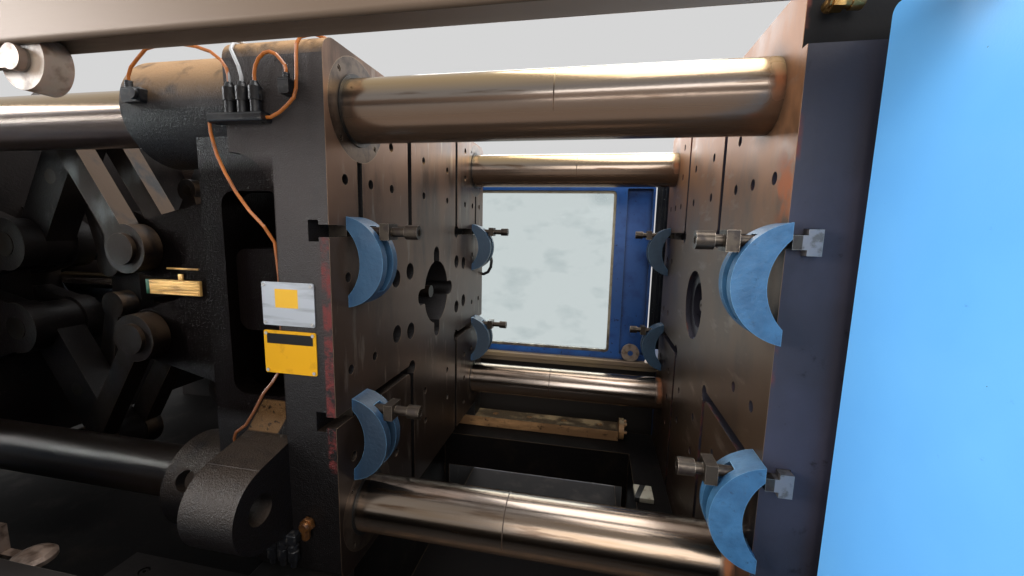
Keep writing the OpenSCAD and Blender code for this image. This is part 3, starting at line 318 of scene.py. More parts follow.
# Under the moving platen the ways are painted near black as shade.
shade_under_platen = way_grease.both(way_grease.fade(way_grease.x, -0.92, -0.98),
                               way_grease.fade(way_grease.y, 0.0, -0.1))
way_grease.coat(shade_under_platen, shade(22, 15, 12), 0.5, 0.2)
way_grease.relief(way_grease.cloud(60, 8, stretch=(0.5, 1, 1), grain=0.7), 0.003, 0.5)
way_grease.onto("guide_ways")

# The stationary platen is a steel casting with its mould face planed flat, then drilled and slotted.
# The face is bare and brown with old oil; its sides are painted blue-black and rust at the rim.
fixed_iron = Finish("fixed_iron", shade(50, 48, 56), 0.46, gloss=0.25)
fixed_iron.coat(fixed_iron.patches(4, 6, 0.45, 0.65), shade(60, 58, 70), 0.42)
fixed_iron.coat(fixed_iron.patches(22, 8, 0.60, 0.70, shift=2.0, grain=0.7), shade(20, 18, 20), 0.55)
# The casting is painted darker towards the bottom, as shade.
fixed_iron.coat(fixed_iron.fade(fixed_iron.z, 1.15, 0.75, 0.7), shade(18, 16, 20), 0.5)
face = fixed_iron.fade(fixed_iron.x, -0.1570, -0.1576)
# The set-back step in the upper corner is painted near black, as shade in the recess.
shaded_set_back = fixed_iron.both(fixed_iron.fade(fixed_iron.z, 1.730, 1.734),
                           fixed_iron.fade(fixed_iron.y, -0.5540, -0.5530))
fixed_iron.coat(shaded_set_back, shade(9, 7, 7), 0.8)
fixed_iron.coat(face, shade(112, 90, 72), 0.38, 0.8)
# Up the face the colour turns lighter and down it darker: painted light from above and painted shade
# below.
climb = fixed_iron.ragged(fixed_iron.z, 0.35, 6, 6)
fixed_iron.coat((face, fixed_iron.fade(climb, 1.58, 1.82)), shade(150, 106, 74), 0.5, 0.4)
fixed_iron.coat((face, fixed_iron.fade(climb, 1.42, 1.02, 0.85)), shade(58, 41, 30), 0.38, 0.6)
stain = fixed_iron.patches(7, 8, 0.50, 0.68, 0.75, stretch=(1, 1, 0.6), shift=6.0, grain=0.62)
fixed_iron.coat((face, stain), shade(70, 55, 46), 0.32, 0.75)
scratches = fixed_iron.patches(30, 6, 0.60, 0.74, 0.6, stretch=(1, 0.25, 1), shift=9.0)
fixed_iron.coat((face, scratches), shade(150, 134, 120), 0.34, 0.9)
# Holes and inner corners of the face are painted darker: painted shade, with oil and dirt.
fixed_iron.coat((face, fixed_iron.corners(0.035)), shade(40, 30, 24), 0.5, 0.3)
spot = fixed_iron.both(fixed_iron.strip(fixed_iron.y, -0.545, 0.02, 0.03),
                       fixed_iron.strip(fixed_iron.z, 1.53, 0.02, 0.05),
                       fixed_iron.patches(26, 6, 0.40, 0.55, shift=3.0))
fixed_iron.coat((face, spot), shade(150, 84, 46), 0.6, 0.2)
rim = fixed_iron.both(fixed_iron.fade(fixed_iron.x, -0.150, -0.1574),
                      fixed_iron.patches(34, 7, 0.42, 0.6, shift=1.0))
rust = fixed_iron.patches(11, 6, 0.50, 0.58, shift=8.0)
fixed_iron.coat((rim, fixed_iron.other(face), rust), shade(104, 50, 38), 0.6, 0.1)
fixed_iron.coat((face, fixed_iron.edges(0.0015)), shade(120, 96, 76), 0.4, 0.7)
fixed_iron.relief((fixed_iron.other(face), fixed_iron.cloud(90, 5)), 0.0012, 0.4)
fixed_iron.relief((face, fixed_iron.cloud(60, 6, stretch=(1, 0.04, 1))), 0.0004, 0.3)
fixed_iron.onto("stationary_platen")

# A brass pipe union feeds grease to the stationary platen through the step in its upper corner.
# It is turned brass, dull and oily.
union_brass = Finish("union_brass", shade(176, 138, 84), 0.32, 1.0)
union_brass.coat(union_brass.patches(60, 6, 0.48, 0.64), shade(104, 74, 44), 0.44, 0.7)
union_brass.relief(union_brass.cloud(400, 3), 0.0003, 0.3)
union = bmesh.new()
turn_up(union, [(9, 0), (9, 4), (14, 4, "hex"), (14.5, 6, "hex"), (14.5, 17, "hex"), (14, 19, "hex"),
                (10, 19), (10, 27), (12, 28), (12, 42), (11, 44), (6, 44)],
        at(812, -571, 537), (1, 0, -0.06), 24)
turn_up(union, [(9, 0), (9, 16), (7, 20)], at(820, -552, 537), (0, -1, 0), 24)
fix("grease_union", union, union_brass, "bed")

# The four tie bars are forged steel, ground and hard-chromed, and tie the platens together.
# Oil browns them, scribed rings mark mould heights, and a thin rust ring sits at the fixed platen.
bar_chrome = Finish("bar_chrome", shade(132, 122, 114), 0.17, 1.0)
film = bar_chrome.cloud(14, 8, stretch=(0.05, 1, 1), grain=0.65)
bar_chrome.coat(bar_chrome.fade(film, 0.42, 0.66), shade(116, 96, 74), 0.22)
streaks = bar_chrome.patches(60, 5, 0.56, 0.68, stretch=(0.08, 1, 1), shift=3.0)
bar_chrome.coat(streaks, shade(84, 67, 54), 0.28)
upper_bars = bar_chrome.fade(bar_chrome.z, 1.20, 1.25)
lower_bars = bar_chrome.fade(bar_chrome.z, 1.25, 1.20)
for ring_x, bars in ((-0.531, upper_bars), (-0.609, lower_bars)):
    ring = bar_chrome.strip(bar_chrome.x, ring_x, 0.0010, 0.0004)
    bar_chrome.coat((ring, bars), shade(50, 38, 30), 0.5, 0.6)
# Near the fixed platen the bars are painted a darker brown: painted shade where they enter it.
near_platen = bar_chrome.ragged(bar_chrome.x, 0.022, 30, 6)
bar_chrome.coat(bar_chrome.fade(near_platen, -0.176, -0.160), shade(92, 60, 40), 0.5, 0.45)
bar_chrome.coat(bar_chrome.strip(near_platen, -0.158, 0.003, 0.006), shade(138, 82, 46), 0.6, 0.2)
# The bars' undersides are painted brown: a painted reflection of the dark parts below.
bar_chrome.coat(bar_chrome.facing((0, -0.5, -0.87), 0.4, 0.85), shade(118, 94, 76), 0.21, 0.7)
# The upper bars' tops are painted golden: a painted highlight.
bar_chrome.coat((bar_chrome.facing((0, -0.3, 0.95), 0.5, 0.9), upper_bars), shade(182, 154, 112), 0.2)
# Behind the moving platen the lower bars, and the upper bars' undersides, are painted dark as shade.
shaded_past_platen = bar_chrome.fade(bar_chrome.x, -1.16, -1.20)
bar_chrome.coat((shaded_past_platen, lower_bars), shade(34, 26, 21), 0.34, 0.6)
turned_down = bar_chrome.facing((0, -0.6, -0.8), 0.3, 0.8)
bar_chrome.coat((shaded_past_platen, upper_bars, turned_down), shade(84, 68, 62), 0.28, 0.7)
bar_chrome.relief(bar_chrome.cloud(220, 4, stretch=(0.3, 1, 1)), 0.0002, 0.3)
bar_chrome.onto("tie_bars", "carriage_rods", "crosshead_guides")

nut_steel = Finish("nut_steel", shade(64, 62, 60), 0.42, 0.85)
nut_steel.coat(nut_steel.patches(25, 7, 0.5, 0.68), shade(44, 32, 26), 0.5, 0.4)
nut_steel.coat(nut_steel.edges(0.003), shade(140, 136, 130), 0.3, 1.0)
nut_steel.relief(nut_steel.cloud(300, 3), 0.0005, 0.4)
nut_steel.onto("front_bar_nuts", "tail_bar_nuts", "slide_shoes")

# The tail platen and the toggle links are castings and forgings behind the moving platen.
# They wear dark paint under black oil, painted darker still as the shade they sit in, and only machined
# flanks and pins show any metal.
# The base colour is painted near black: dark paint and oil, darkened further as shade.
tail_iron = Finish("tail_iron", shade(16, 10, 8), 0.55, gloss=0.15)
tail_iron.coat(tail_iron.patches(6, 7, 0.46, 0.64), shade(9, 6, 6), 0.42)
tail_iron.coat(tail_iron.patches(90, 6, 0.64, 0.72, shift=3.0), shade(40, 32, 27), 0.5)
tail_iron.coat(tail_iron.edges(0.002), shade(50, 42, 35), 0.5, 0.4)
tail_iron.relief(tail_iron.cloud(150, 5), 0.002, 0.5)
tail_iron.onto("tail_platen", "crosshead", "rear_links_upper", "rear_links_lower")

link_grease = Finish("link_grease", shade(30, 22, 18), 0.58, 0.8, gloss=0.2)
# The links' upward faces are painted lighter brown: painted light falling from above.
link_grease.coat(link_grease.facing((0.5, -0.05, 0.8), 0.35, 0.75), shade(66, 51, 38), 0.6, 0.3)
black_oil = link_grease.patches(14, 7, 0.48, 0.62, stretch=(1, 1, 0.5))
link_grease.coat(black_oil, shade(14, 10, 9), 0.4, 0.1)
link_grease.coat(link_grease.edges(0.0015), shade(82, 66, 50), 0.4, 0.5)
link_grease.relief(link_grease.cloud(120, 5), 0.0008, 0.5)
link_grease.onto("front_links_upper", "front_links_lower", "short_links_upper", "short_links_lower")

pin_steel = Finish("pin_steel", shade(46, 37, 30), 0.36, 0.9)
pin_steel.coat(pin_steel.patches(40, 6, 0.46, 0.62), shade(28, 20, 16), 0.45, 0.5)
pin_steel.relief(pin_steel.cloud(300, 3), 0.0003, 0.3)
pin_steel.onto("tail_pins", "knuckle_pins_upper", "knuckle_pins_lower", "ejector_plate",
               "carriage_rails", "screw")

cylinder_paint = Finish("cylinder_paint", shade(46, 52, 60), 0.42, gloss=0.35)
cylinder_paint.coat(cylinder_paint.patches(8, 7, 0.5, 0.66), shade(24, 24, 25), 0.32)
cylinder_paint.coat(cylinder_paint.edges(0.003), shade(110, 108, 104), 0.4, 0.6)
cylinder_paint.relief(cylinder_paint.cloud(200, 4), 0.0008, 0.4)
cylinder_paint.onto("clamp_cylinder", "ejector_cylinder", "injection_carriage", "thrust_unit",
                    "carriage_cylinders")

# The moving platen is one large casting with four long sleeves that run on the tie bars.
# Its sandy skin is charcoal paint under dust and oil; the mould face is planed and oil-brown.
moving_iron = Finish("moving_iron", shade(27, 24, 24), 0.44, gloss=0.24)
moving_iron.coat(moving_iron.patches(5, 6, 0.50, 0.66, shift=4.0), shade(17, 14, 14), 0.34)
# Fine light specks are painted glints on the sandy skin.
moving_iron.coat(moving_iron.patches(260, 3, 0.62, 0.74, grain=0.7), shade(50, 46, 45), 0.2, 0.1)
flank = moving_iron.fade(moving_iron.y, -0.5590, -0.5598)
moving_iron.coat((flank, moving_iron.fade(moving_iron.z, 1.15, 1.5)), shade(56, 50, 48), 0.58)
# The casting is painted darker towards the bottom, as shade.
moving_iron.coat(moving_iron.fade(moving_iron.z, 1.22, 0.98), shade(13, 10, 10), 0.4)
# Behind the face, towards the toggle, the casting is painted near black as shade.
behind = moving_iron.both(moving_iron.fade(moving_iron.x, -1.064, -1.068),
                          moving_iron.strip(moving_iron.z, 1.305, 0.255, 0.03))
moving_iron.coat(behind, shade(18, 13, 12), 0.6, 1.0)
wiped = moving_iron.patches(18, 8, 0.48, 0.64, 0.7, stretch=(1, 1, 0.4), shift=6.0)
moving_iron.coat((flank, moving_iron.fade(moving_iron.z, 1.1, 1.4), wiped), shade(44, 39, 37), 0.4)
# Up-facing tops carry dust, painted pale high up as light from above and dark low down as shade.
dust_light_and_shade = moving_iron.both(moving_iron.facing((0, -0.25, 0.97), 0.25, 0.8),
                         moving_iron.patches(20, 7, 0.26, 0.50, shift=2.5))
moving_iron.coat((dust_light_and_shade, moving_iron.fade(moving_iron.z, 1.58, 1.66)), shade(172, 136, 98), 0.66)
moving_iron.coat((dust_light_and_shade, moving_iron.fade(moving_iron.z, 1.10, 1.00)), shade(44, 35, 28), 0.44)
# A slanting ledge is painted pale beige: dust, lightened as painted light from above.
slant = moving_iron.calc("SUBTRACT", moving_iron.x, moving_iron.calc("MULTIPLY", moving_iron.z, 0.62))
ledge = moving_iron.both(moving_iron.strip(moving_iron.y, -0.540, 0.0012, 0.0004),
                         moving_iron.strip(moving_iron.z, 1.042, 0.036, 0.004),
                         moving_iron.strip(slant, -1.768, 0.036, 0.004))
moving_iron.coat((ledge, moving_iron.patches(90, 6, 0.30, 0.42)), shade(98, 72, 46), 0.7)
stripe = moving_iron.both(flank, moving_iron.strip(moving_iron.x, -0.9605, 0.0080, 0.003),
                          moving_iron.strip(moving_iron.z, 1.195, 0.235, 0.02),
                          moving_iron.patches(30, 8, 0.42, 0.56, shift=2.0, grain=0.75))
moving_iron.coat(stripe, shade(96, 36, 34), 0.6)
front_face = moving_iron.fade(moving_iron.x, -0.9510, -0.9504)
moving_iron.coat(front_face, shade(104, 82, 68), 0.38, 0.8)
# Up the face the colour turns lighter and down it darker: painted light from above and painted shade
# below.
rise = moving_iron.ragged(moving_iron.z, 0.4, 5, 6, shift=1.0)
moving_iron.coat((front_face, moving_iron.fade(rise, 1.66, 1.92)), shade(128, 98, 78), 0.42, 0.6)
moving_iron.coat((front_face, moving_iron.fade(rise, 1.56, 1.16, 0.92)), shade(38, 30, 26), 0.36, 0.6)
oil_runs = moving_iron.patches(8, 8, 0.50, 0.68, 0.75, stretch=(1, 1, 0.35), shift=7.0, grain=0.62)
moving_iron.coat((front_face, oil_runs), shade(50, 38, 32), 0.30, 0.7)
rubbed = moving_iron.patches(34, 6, 0.60, 0.74, 0.6, stretch=(1, 1, 0.2), shift=11.0)
moving_iron.coat((front_face, rubbed), shade(150, 138, 126), 0.32, 0.9)
# Holes and inner corners of the face are painted darker: painted shade, with oil and dirt.
moving_iron.coat((front_face, moving_iron.corners(0.035)), shade(42, 32, 26), 0.5, 0.3)
moving_iron.coat((front_face, moving_iron.edges(0.002)), shade(150, 126, 104), 0.4, 0.8)
moving_iron.relief((moving_iron.other(front_face), moving_iron.cloud(60, 7, grain=0.6)), 0.003, 0.45)
moving_iron.relief((moving_iron.other(front_face), moving_iron.cloud(300, 4)), 0.0022, 0.8)
moving_iron.relief((front_face, moving_iron.cloud(60, 6, stretch=(1, 0.04, 1))), 0.0004, 0.3)
moving_iron.onto("moving_platen")

# Flanged bronze-lined bushes guide the bars through the moving platen, held by socket screws.
# A black lip seal in each one wipes the bar.
bush_steel = Finish("bush_steel", shade(96, 82, 70), 0.38, 0.85)
bush_steel.coat(bush_steel.patches(30, 7, 0.46, 0.62), shade(54, 41, 34), 0.34, 0.7)
# Holes and inner corners are painted darker: painted shade, with oil and dirt.
bush_steel.coat(bush_steel.corners(0.02), shade(34, 26, 22), 0.5, 0.3)
bush_steel.coat(bush_steel.edges(0.0015), shade(150, 134, 116), 0.3, 1.0)
bush_steel.relief(bush_steel.cloud(200, 4), 0.0005, 0.4)
bush_steel.onto("platen_bushes")

seal_rubber = Finish("seal_rubber", shade(20, 19, 18), 0.45, gloss=0.35)
seal_rubber.coat(seal_rubber.patches(60, 5, 0.55, 0.7), shade(46, 38, 30), 0.3)
seal_rubber.relief(seal_rubber.cloud(500, 3), 0.0004, 0.4)
seal_rubber.onto("bar_seals")

# Eight arched mould clamps are drop-forged and sprayed mid blue; their socket screws are bare.
# Spanners and moulds have chipped the paint, and oily grime sits in the pits.
clamp_paint = Finish("clamp_paint", shade(54, 98, 132), 0.46)
clamp_paint.coat(clamp_paint.patches(22, 7, 0.40, 0.62), shade(40, 80, 112), 0.5)
# The moving platen's clamps are painted darker, and its lower ones darker still, as shade.
clamp_paint.coat(clamp_paint.fade(clamp_paint.x, -0.80, -0.85, 0.7), shade(38, 62, 84), 0.5)
shaded_low_moving = clamp_paint.both(clamp_paint.fade(clamp_paint.x, -0.80, -0.85),
                              clamp_paint.fade(clamp_paint.z, 1.2, 1.1, 0.7))
clamp_paint.coat(shaded_low_moving, shade(20, 28, 38), 0.5)
clamp_paint.coat(clamp_paint.fade(clamp_paint.y, 0.30, 0.34, 0.6), shade(52, 62, 72), 0.5)
chips = clamp_paint.patches(48, 8, 0.64, 0.72, shift=5.0, grain=0.75)
clamp_paint.coat(chips, shade(70, 84, 94), 0.45, 0.4)
grime = clamp_paint.patches(80, 7, 0.60, 0.70, 0.8, shift=8.0, grain=0.75)
clamp_paint.coat(grime, shade(26, 48, 70), 0.55)
# Holes and inner corners are painted darker: painted shade, with oil and dirt.
clamp_paint.coat(clamp_paint.corners(0.02), shade(30, 62, 92), 0.5)
clamp_paint.coat(clamp_paint.edges(0.002), shade(92, 134, 164), 0.4, 0.2)
clamp_paint.relief(clamp_paint.cloud(100, 6), 0.0022, 0.5)
clamp_paint.onto("fixed_clamps", "moving_clamps")

bolt_steel = Finish("bolt_steel", shade(74, 66, 58), 0.36, 0.9)
bolt_steel.coat(bolt_steel.patches(60, 7, 0.48, 0.62), shade(42, 31, 25), 0.45, 0.4)
fixed_nuts = bolt_steel.fade(bolt_steel.x, -0.1430, -0.1420)
bolt_steel.coat(fixed_nuts, shade(132, 126, 124), 0.36, 0.7)
dull_spots = bolt_steel.patches(60, 7, 0.5, 0.62, shift=4.0)
bolt_steel.coat((fixed_nuts, dull_spots), shade(96, 92, 88), 0.44, 0.6)
bolt_steel.coat(bolt_steel.edges(0.0015), shade(160, 148, 134), 0.3, 1.0)
bolt_steel.relief(bolt_steel.cloud(300, 4), 0.0005, 0.5)
bolt_steel.onto("fixed_clamp_bolts", "moving_clamp_bolts")

# A moulded junction block on the platen's side takes three black plugs with ringed cable nuts.
# Sensor cables loop from it over the casting to a sensor, a gland and the toggle.
plug_plastic = Finish("plug_plastic", shade(22, 22, 24), 0.32, gloss=0.45)
plug_plastic.coat(plug_plastic.patches(90, 5, 0.56, 0.7), shade(58, 54, 50), 0.55)
rings = plug_plastic.add("ShaderNodeTexWave", bands_direction="Z")
plug_plastic.join(plug_plastic.place, rings.inputs["Vector"])
rings.inputs["Scale"].default_value = 80
on_plugs = plug_plastic.fade(plug_plastic.z, 1.716, 1.720)
plug_plastic.relief((rings.outputs["Fac"], on_plugs), 0.0012, 0.5)
plug_plastic.relief(plug_plastic.cloud(600, 2), 0.0003, 0.4)
plug_plastic.onto("sensor_block")

cable_jacket = Finish("cable_jacket", shade(176, 98, 34), 0.3)
cable_jacket.coat(cable_jacket.patches(30, 6, 0.52, 0.68), shade(132, 72, 28), 0.34)
grey_one = cable_jacket.calc("MAXIMUM", cable_jacket.strip(cable_jacket.x, -1.119, 0.0185, 0.001),
                             cable_jacket.both(cable_jacket.strip(cable_jacket.x, -1.145, 0.010, 0.001),
                                               cable_jacket.fade(cable_jacket.z, 1.785, 1.787)))
above_block = cable_jacket.fade(cable_jacket.z, 1.714, 1.716)
cable_jacket.coat((grey_one, above_block), shade(176, 176, 176), 0.3)
# Lower down the cables are painted darker brown, as shade.
cable_jacket.coat(cable_jacket.fade(cable_jacket.z, 1.50, 1.30), shade(104, 58, 28), 0.4)
cable_jacket.relief(cable_jacket.cloud(500, 2), 0.0003, 0.3)
cable_jacket.onto("sensor_cables")

# Lower on the same flank a small block takes three more plugs, beside a round brass gland.
# Both are moulded and turned parts, wet with oil, and screwed to the casting.
flank_plugs = bmesh.new()
block(flank_plugs, (-170, -582, -474), (-94, -560, -452), 3)
for x in (-158, -132, -106):
    turn_up(flank_plugs, [(8, 0), (8, 3), (11.5, 5), (11.5, 12), (10, 13), (10, 17), (11.5, 18),
                          (11.5, 40), (9.5, 43), (7, 43), (7, 55), (5, 58)],
            at(x, -572, -474), (0, 0, -1), 28)
fix("flank_plugs", flank_plugs, plug_plastic, "platen")

gland_brass = Finish("gland_brass", shade(128, 84, 46), 0.36, 0.8)
gland_brass.coat(gland_brass.patches(80, 6, 0.46, 0.62), shade(72, 44, 24), 0.46, 0.5)
gland_brass.relief(gland_brass.cloud(400, 3), 0.0004, 0.4)
flank_gland = bmesh.new()
turn_up(flank_gland, [(11, 0), (11, 3), (15, 3, "hex"), (16, 5, "hex"), (16, 12, "hex"),
                      (15, 14, "hex"), (12, 14), (12, 20), (9, 24), (5, 24)],
        at(-72, -560, -428), (0, -1, 0), 24)
turn_up(flank_gland, [(9, 0), (9, 18), (7, 22)], at(-72, -574, -436), (0, 0, -1), 20)
fix("flank_gland", flank_gland, gland_brass, "platen")

# A ribbed brass measuring strip, with a green end cap, is screwed on edge to the front ear.
# Oil has turned it golden, and a thin steel rule sits above it.
strip_brass = Finish("strip_brass", shade(226, 176, 104), 0.4, 0.35)
tarnish = strip_brass.patches(30, 7, 0.46, 0.64, stretch=(0.3, 1, 2))
strip_brass.coat(tarnish, shade(150, 108, 58), 0.45, 0.4)
green_cap = strip_brass.fade(strip_brass.x, -1.731, -1.733)
strip_brass.coat(green_cap, shade(18, 74, 50), 0.5, 0.0)
strip_brass.relief(strip_brass.cloud(300, 3), 0.0003, 0.3)
measure_strip = bmesh.new()
block(measure_strip, (-796, -294, -4), (-606, -284, 40), 1.5)
for z in (-2, 6, 14, 22, 30, 36):
    block(measure_strip, (-778, -297, z), (-608, -292, z + 3), 0.8)
block(measure_strip, (-722, -289, 71), (-612, -284, 76), 1)
block(measure_strip, (-684, -289, 38), (-668, -284, 58), 1)
fix("measure_strip", measure_strip, strip_brass, "platen")

# Two thin bare plates are screwed to the platen's side, one silver and one yellow.
# They are printed aluminium, and their corner screws are plain steel.
silver_plate = Finish("silver_plate", shade(186, 190, 196), 0.32, 0.85)
brushed = silver_plate.patches(60, 6, 0.5, 0.66, stretch=(0.1, 1, 1))
silver_plate.coat(brushed, shade(150, 152, 156), 0.4)
gold_field = silver_plate.both(silver_plate.strip(silver_plate.z, 1.309, 0.019, 0.0004),
                               silver_plate.strip(silver_plate.x, -1.050, 0.026, 0.0004))
silver_plate.coat(gold_field, shade(212, 160, 28), 0.4, 0.1)
plate_top, head_top = -0.5623, -0.5626
head_bright = shade(196, 194, 190)
silver_plate.coat(silver_plate.fade(silver_plate.y, plate_top, head_top), head_bright, 0.26, 1.0)
silver_plate.relief(silver_plate.cloud(300, 3), 0.0002, 0.3)
silver_plate.onto("data_plate")

yellow_plate = Finish("yellow_plate", shade(200, 144, 5), 0.55, gloss=0.2)
yellow_plate.coat(yellow_plate.patches(40, 6, 0.56, 0.7), shade(178, 126, 8), 0.6)
black_field = yellow_plate.both(yellow_plate.strip(yellow_plate.z, 1.225, 0.0105, 0.0003),
                                yellow_plate.strip(yellow_plate.x, -1.047, 0.053, 0.0003))
yellow_plate.coat(black_field, shade(16, 14, 13), 0.7)
yellow_plate.coat(yellow_plate.fade(yellow_plate.y, plate_top, head_top), head_bright, 0.26, 1.0)
yellow_plate.relief(yellow_plate.cloud(300, 3), 0.0002, 0.3)
yellow_plate.onto("notice_plate")

hose_rubber = Finish("hose_rubber", shade(22, 22, 24), 0.42, gloss=0.35)
hose_rubber.coat(hose_rubber.patches(50, 5, 0.56, 0.7), shade(56, 48, 40), 0.35)
hose_rubber.relief(hose_rubber.cloud(400, 3), 0.0005, 0.4)
hose_rubber.onto("grease_hose")

# Drawn steel rails carry the sliding gates along both sides, above and below the opening.
# The upper front one is an inverted channel; the far lower ones are beige with old grease.
rail_steel = Finish("rail_steel", shade(140, 120, 104), 0.42, 0.45)
rail_steel.coat(rail_steel.patches(7, 8, 0.50, 0.70, stretch=(0.2, 1, 1)), shade(112, 92, 76), 0.5, 0.4)
wear_lines = rail_steel.patches(60, 5, 0.60, 0.70, stretch=(0.06, 1, 1), shift=4.0)
rail_steel.coat(wear_lines, shade(150, 134, 116), 0.3, 0.8)
upper_rails = rail_steel.fade(rail_steel.z, 1.6, 1.64)
lower_rails = rail_steel.fade(rail_steel.z, 1.0, 0.95)
far_side = rail_steel.fade(rail_steel.y, 0.66, 0.70)
old_grease = rail_steel.patches(12, 8, 0.36, 0.60, stretch=(0.3, 1, 1), shift=6.0)
rail_steel.coat((far_side, lower_rails, old_grease), shade(146, 124, 92), 0.5, 0.1)
# The upper rails' undersides are painted darker as shade.
shaded_underside = rail_steel.facing((0, 0, -1), 0.5, 0.9)
rail_steel.coat((shaded_underside, upper_rails), shade(116, 98, 90), 0.45, 0.3)
# Towards the housing the upper rails are painted pale: a painted sheen.
sheen_near_housing = rail_steel.fade(rail_steel.x, -0.75, -0.30)
rail_steel.coat((upper_rails, sheen_near_housing), shade(190, 178, 168), 0.45, 0.3)
# The upper rails' outer faces are painted darker brown as shade.
shaded_outer_face = rail_steel.fade(rail_steel.y, -0.780, -0.790)
rail_steel.coat((shaded_outer_face, upper_rails), shade(98, 79, 62), 0.5, 0.3)
# The near lower rail is painted near black as shade.
shaded_near_side = rail_steel.fade(rail_steel.y, -0.6, -0.7)
rail_steel.coat((shaded_near_side, lower_rails), shade(30, 23, 19), 0.5, 0.3)
rail_steel.coat(rail_steel.edges(0.0015), shade(150, 142, 132), 0.34, 0.9)
rail_steel.relief(rail_steel.cloud(160, 5, stretch=(0.1, 1, 1)), 0.0005, 0.4)
rail_steel.onto("gate_rails")

roller_nylon = Finish("roller_nylon", shade(164, 144, 126), 0.42)
roller_nylon.shader.inputs["Subsurface Weight"].default_value = 0.1
roller_nylon.coat(roller_nylon.patches(40, 7, 0.48, 0.66), shade(120, 98, 80), 0.5)
# Holes and inner corners are painted darker: painted shade, with oil and dirt.
roller_nylon.coat(roller_nylon.corners(0.01), shade(60, 50, 42), 0.5)
roller_nylon.relief(roller_nylon.cloud(300, 3), 0.0004, 0.4)
roller_nylon.onto("front_gate_roller_near", "front_gate_roller_far", "rear_gate_roller")

# The front gate and the housings are folded steel sheet with rounded corners, powder coated
# sky blue and clean apart from scratches and specks of oil; the gate's hangers are bare steel.
sky_coat = Finish("sky_coat", shade(106, 182, 248), 0.34)
sky_coat.coat(sky_coat.patches(2.5, 4, 0.40, 0.66), shade(116, 192, 252), 0.3)
sky_coat.coat(sky_coat.patches(75, 3, 0.775, 0.79, shift=4.0), shade(28, 40, 70), 0.4)
marks = sky_coat.cloud(16, 9, stretch=(1, 1, 2.2), shift=2.0, grain=0.75)
sky_coat.coat(sky_coat.fade(marks, 0.66, 0.74), shade(84, 150, 222), 0.42)
past_edge = sky_coat.calc("MAXIMUM", sky_coat.fade(sky_coat.y, -0.8012, -0.8002),
                          sky_coat.fade(sky_coat.x, -1.5090, -1.5080))
hanger = sky_coat.both(past_edge, sky_coat.fade(sky_coat.x, -0.70, -0.72))
sky_coat.coat(hanger, shade(132, 112, 98), 0.4, 0.4)
sky_coat.coat((hanger, sky_coat.patches(40, 7, 0.46, 0.62, shift=1.0)), shade(84, 66, 54), 0.46, 0.4)
sky_coat.relief(sky_coat.cloud(380, 2), 0.0004, 0.25)
sky_coat.onto("front_gate", "front_housing")

# The rear housing's sky blue is painted darker, as shade.
shaded_blue_coat = Finish("shaded_blue_coat", shade(46, 88, 148), 0.36)
shaded_blue_coat.coat(shaded_blue_coat.patches(5, 5, 0.46, 0.72), shade(40, 79, 136), 0.42)
shaded_blue_coat.coat(shaded_blue_coat.edges(0.003), shade(98, 128, 168), 0.4)
shaded_blue_coat.relief(shaded_blue_coat.cloud(300, 3), 0.0004, 0.3)
shaded_blue_coat.onto("rear_housing")

# The control panel is a grey enamelled box let into the housing, with a screen and keys.
# The keys are moulded rubber in a steel sheet.
panel_enamel = Finish("panel_enamel", shade(190, 192, 194), 0.4)
screen = panel_enamel.both(panel_enamel.strip(panel_enamel.x, 0.331, 0.168, 0.001),
                           panel_enamel.strip(panel_enamel.z, 1.475, 0.133, 0.001))
panel_enamel.coat(screen, shade(24, 30, 36), 0.12)
panel_enamel.coat(panel_enamel.patches(60, 6, 0.6, 0.72), shade(150, 150, 148), 0.5)
panel_enamel.relief(panel_enamel.cloud(500, 2), 0.0003, 0.3)
panel_enamel.onto("control_panel")

# The rear gate is an aluminium profile frame with a clear pane in a cream seal; its blue is painted
# darker, as shade.
# The seal has gone yellow and greasy, most of all along the bottom.
shaded_gate_blue = Finish("shaded_gate_blue", shade(40, 92, 164), 0.36)
shaded_gate_blue.coat(shaded_gate_blue.patches(12, 7, 0.5, 0.66), shade(30, 74, 140), 0.44)
shaded_gate_blue.coat(shaded_gate_blue.patches(60, 6, 0.64, 0.70, shift=3.0), shade(18, 32, 58), 0.5)
# Holes and inner corners are painted darker: painted shade, with oil and dirt.
shaded_gate_blue.coat(shaded_gate_blue.corners(0.02), shade(16, 34, 66), 0.5)
shaded_gate_blue.coat(shaded_gate_blue.edges(0.002), shade(104, 138, 180), 0.35, 0.3)
shaded_gate_blue.relief(shaded_gate_blue.cloud(300, 3), 0.0005, 0.3)
shaded_gate_blue.onto("rear_gate")

pane = Finish("clear_pane", (0.84, 0.93, 0.93), 0.06)
pane.shader.inputs["Transmission Weight"].default_value = 1.0
pane.shader.inputs["IOR"].default_value = 1.1
pane.coat(pane.patches(9, 8, 0.52, 0.72, stretch=(0.6, 1, 1)), (0.66, 0.76, 0.77), 0.28)
pane.relief(pane.cloud(40, 5), 0.0003, 0.2)
pane.onto("rear_gate_window", "front_gate_window")

seal_cream = Finish("seal_cream", shade(186, 174, 148), 0.5)
seal_cream.coat(seal_cream.patches(30, 7, 0.5, 0.66), shade(168, 150, 118), 0.5)
low_seal = seal_cream.both(seal_cream.fade(seal_cream.z, 1.02, 0.94),
                           seal_cream.patches(24, 7, 0.26, 0.50, shift=3.0))
seal_cream.coat(low_seal, shade(92, 78, 64), 0.5)
seal_cream.relief(seal_cream.cloud(300, 3), 0.0006, 0.4)
seal_cream.onto("rear_gate_seal")

